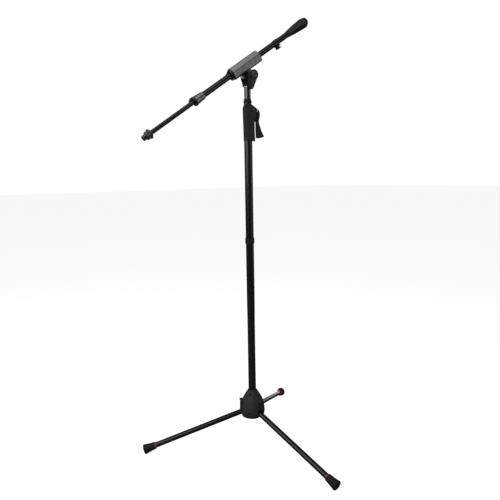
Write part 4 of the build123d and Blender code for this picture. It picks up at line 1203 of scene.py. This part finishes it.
class STAND_OT_studio(StandOperator, bpy.types.Operator):
    """Pale floor, soft light and the camera"""

    bl_idname = "stand.studio"
    bl_label = "Studio"

    def execute(self, context):
        self.floor(context.scene)
        self.world(context.scene)
        self.lights(context.scene)
        self.camera(context.scene)
        context.scene.view_settings.view_transform = "Standard"
        return {"FINISHED"}

    def floor(self, scene):
        """Pale floor for the camera, darker to light and reflections so that black stays black."""
        bm = bmesh.new()
        bmesh.ops.create_grid(bm, x_segments=1, y_segments=1, size=scene.stand_view.floor_size / 2)
        mesh = bpy.data.meshes.new("floor")
        bm.to_mesh(mesh)
        bm.free()
        paint = bpy.data.materials.new("floor_paint")
        paint.use_nodes = True
        tree = paint.node_tree
        shader = tree.nodes["Principled BSDF"]
        shader.inputs["Roughness"].default_value = 0.9
        shader.inputs["Specular IOR Level"].default_value = 0.0
        shader.inputs["Emission Color"].default_value = (1.0, 1.0, 1.0, 1.0)
        path = node(tree, "ShaderNodeLightPath")
        seen = path.outputs["Is Camera Ray"]
        pale = tuple(scene.stand_colours.floor)
        shade = blend_colour(tree, seen, lit(pale, 0.25), lit(pale, 0.6))
        tree.links.new(shade, shader.inputs["Base Color"])
        tree.links.new(ranged(tree, seen, 0.0, 0.9), shader.inputs["Emission Strength"])
        mesh.materials.append(paint)
        floor = bpy.data.objects.new("floor", mesh)
        scene.collection.objects.link(floor)

    def world(self, scene):
        """White to the camera; as a light it is dim, so that the black pieces stay black."""
        world = bpy.data.worlds.new("studio")
        scene.world = world
        world.use_nodes = True
        tree = world.node_tree
        tree.nodes.clear()
        path = node(tree, "ShaderNodeLightPath")
        strength = ranged(tree, path.outputs["Is Camera Ray"], 0.06, 1.0)
        light = node(tree, "ShaderNodeBackground", {"Color": (1.0, 1.0, 1.0, 1.0)})
        tree.links.new(strength, light.inputs["Strength"])
        out = node(tree, "ShaderNodeOutputWorld")
        tree.links.new(light.outputs["Background"], out.inputs["Surface"])

    def lights(self, scene):
        """Soft boxes: name, place, point they face, size and power."""
        boxes = (
            ("key", (-1.8, -0.16, 1.65), (0, 0, 1.0), (2.7, 1.6), 31.0),
            ("fill", (1.34, -1.48, 1.0), (0, 0, 1.0), (1.0, 1.4), 4.4),
            ("top", (-0.2, -0.7, 2.6), (0, 0, 0.8), (1.2, 1.2), 5.4),
            ("kicker", (0.7, 0.85, 0.01), (0.7, 0.85, 1.0), (1.2, 1.2), 12.0),
        )
        for name, spot, aim, size, power in boxes:
            data = bpy.data.lights.new(name, "AREA")
            data.shape = "RECTANGLE"
            data.size, data.size_y = size
            data.energy = power
            light = bpy.data.objects.new(name, data)
            light.location = spot
            light.rotation_euler = (Vector(aim) - Vector(spot)).to_track_quat("-Z", "Y").to_euler()
            light.visible_camera = False
            scene.collection.objects.link(light)

    def camera(self, scene):
        """Camera at its azimuth, pitch and roll, aimed past the mast."""
        view = scene.stand_view
        level = Vector((-sin(view.azimuth), cos(view.azimuth), 0))
        forward = level * cos(view.pitch) + UP * sin(view.pitch)
        right = forward.cross(UP).normalized()
        up = right.cross(forward)
        tilted_right = right * cos(view.roll) + up * sin(view.roll)
        tilted_up = up * cos(view.roll) - right * sin(view.roll)
        data = bpy.data.cameras.new("camera")
        data.lens = view.lens
        data.sensor_width = 36.0
        camera = bpy.data.objects.new("camera", data)
        spot = UP * view.height - level * view.distance
        turn = Matrix((tilted_right, tilted_up, -forward)).transposed().to_4x4()
        camera.matrix_world = Matrix.Translation(spot) @ turn
        scene.collection.objects.link(camera)
        scene.camera = camera


OPERATORS = (
    STAND_OT_tubes,
    STAND_OT_legs,
    STAND_OT_hub,
    STAND_OT_grip,
    STAND_OT_mast_fittings,
    STAND_OT_swivel,
    STAND_OT_clamp,
    STAND_OT_boom_lock,
    STAND_OT_counterweight,
    STAND_OT_tip,
    STAND_OT_studio,
)


class STAND_PT_panel(bpy.types.Panel):
    """Panel that lists the stand's groups of pieces"""

    bl_label = "Boom Stand"
    bl_space_type = "VIEW_3D"
    bl_region_type = "UI"
    bl_category = "Boom Stand"

    def draw(self, context):
        for operator in OPERATORS:
            self.layout.operator(operator.bl_idname)
        scene = context.scene
        for settings in (scene.stand_sizes, scene.stand_colours, scene.stand_view):
            for name in settings.bl_rna.properties.keys():
                if name not in {"rna_type", "name"}:
                    self.layout.prop(settings, name)


CLASSES = (StandSizes, StandColours, StandView, *OPERATORS, STAND_PT_panel)


def register():
    """Register the classes and hang the settings on the scene."""
    for item in CLASSES:
        bpy.utils.register_class(item)
    bpy.types.Scene.stand_sizes = PointerProperty(type=StandSizes)
    bpy.types.Scene.stand_colours = PointerProperty(type=StandColours)
    bpy.types.Scene.stand_view = PointerProperty(type=StandView)


def unregister():
    """Take the settings off the scene and unregister the classes."""
    del bpy.types.Scene.stand_view
    del bpy.types.Scene.stand_colours
    del bpy.types.Scene.stand_sizes
    for item in reversed(CLASSES):
        bpy.utils.unregister_class(item)


def main():
    """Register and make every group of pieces."""
    register()
    for operator in OPERATORS:
        group, name = operator.bl_idname.split(".")
        getattr(getattr(bpy.ops, group), name)()


if __name__ == "__main__":
    main()
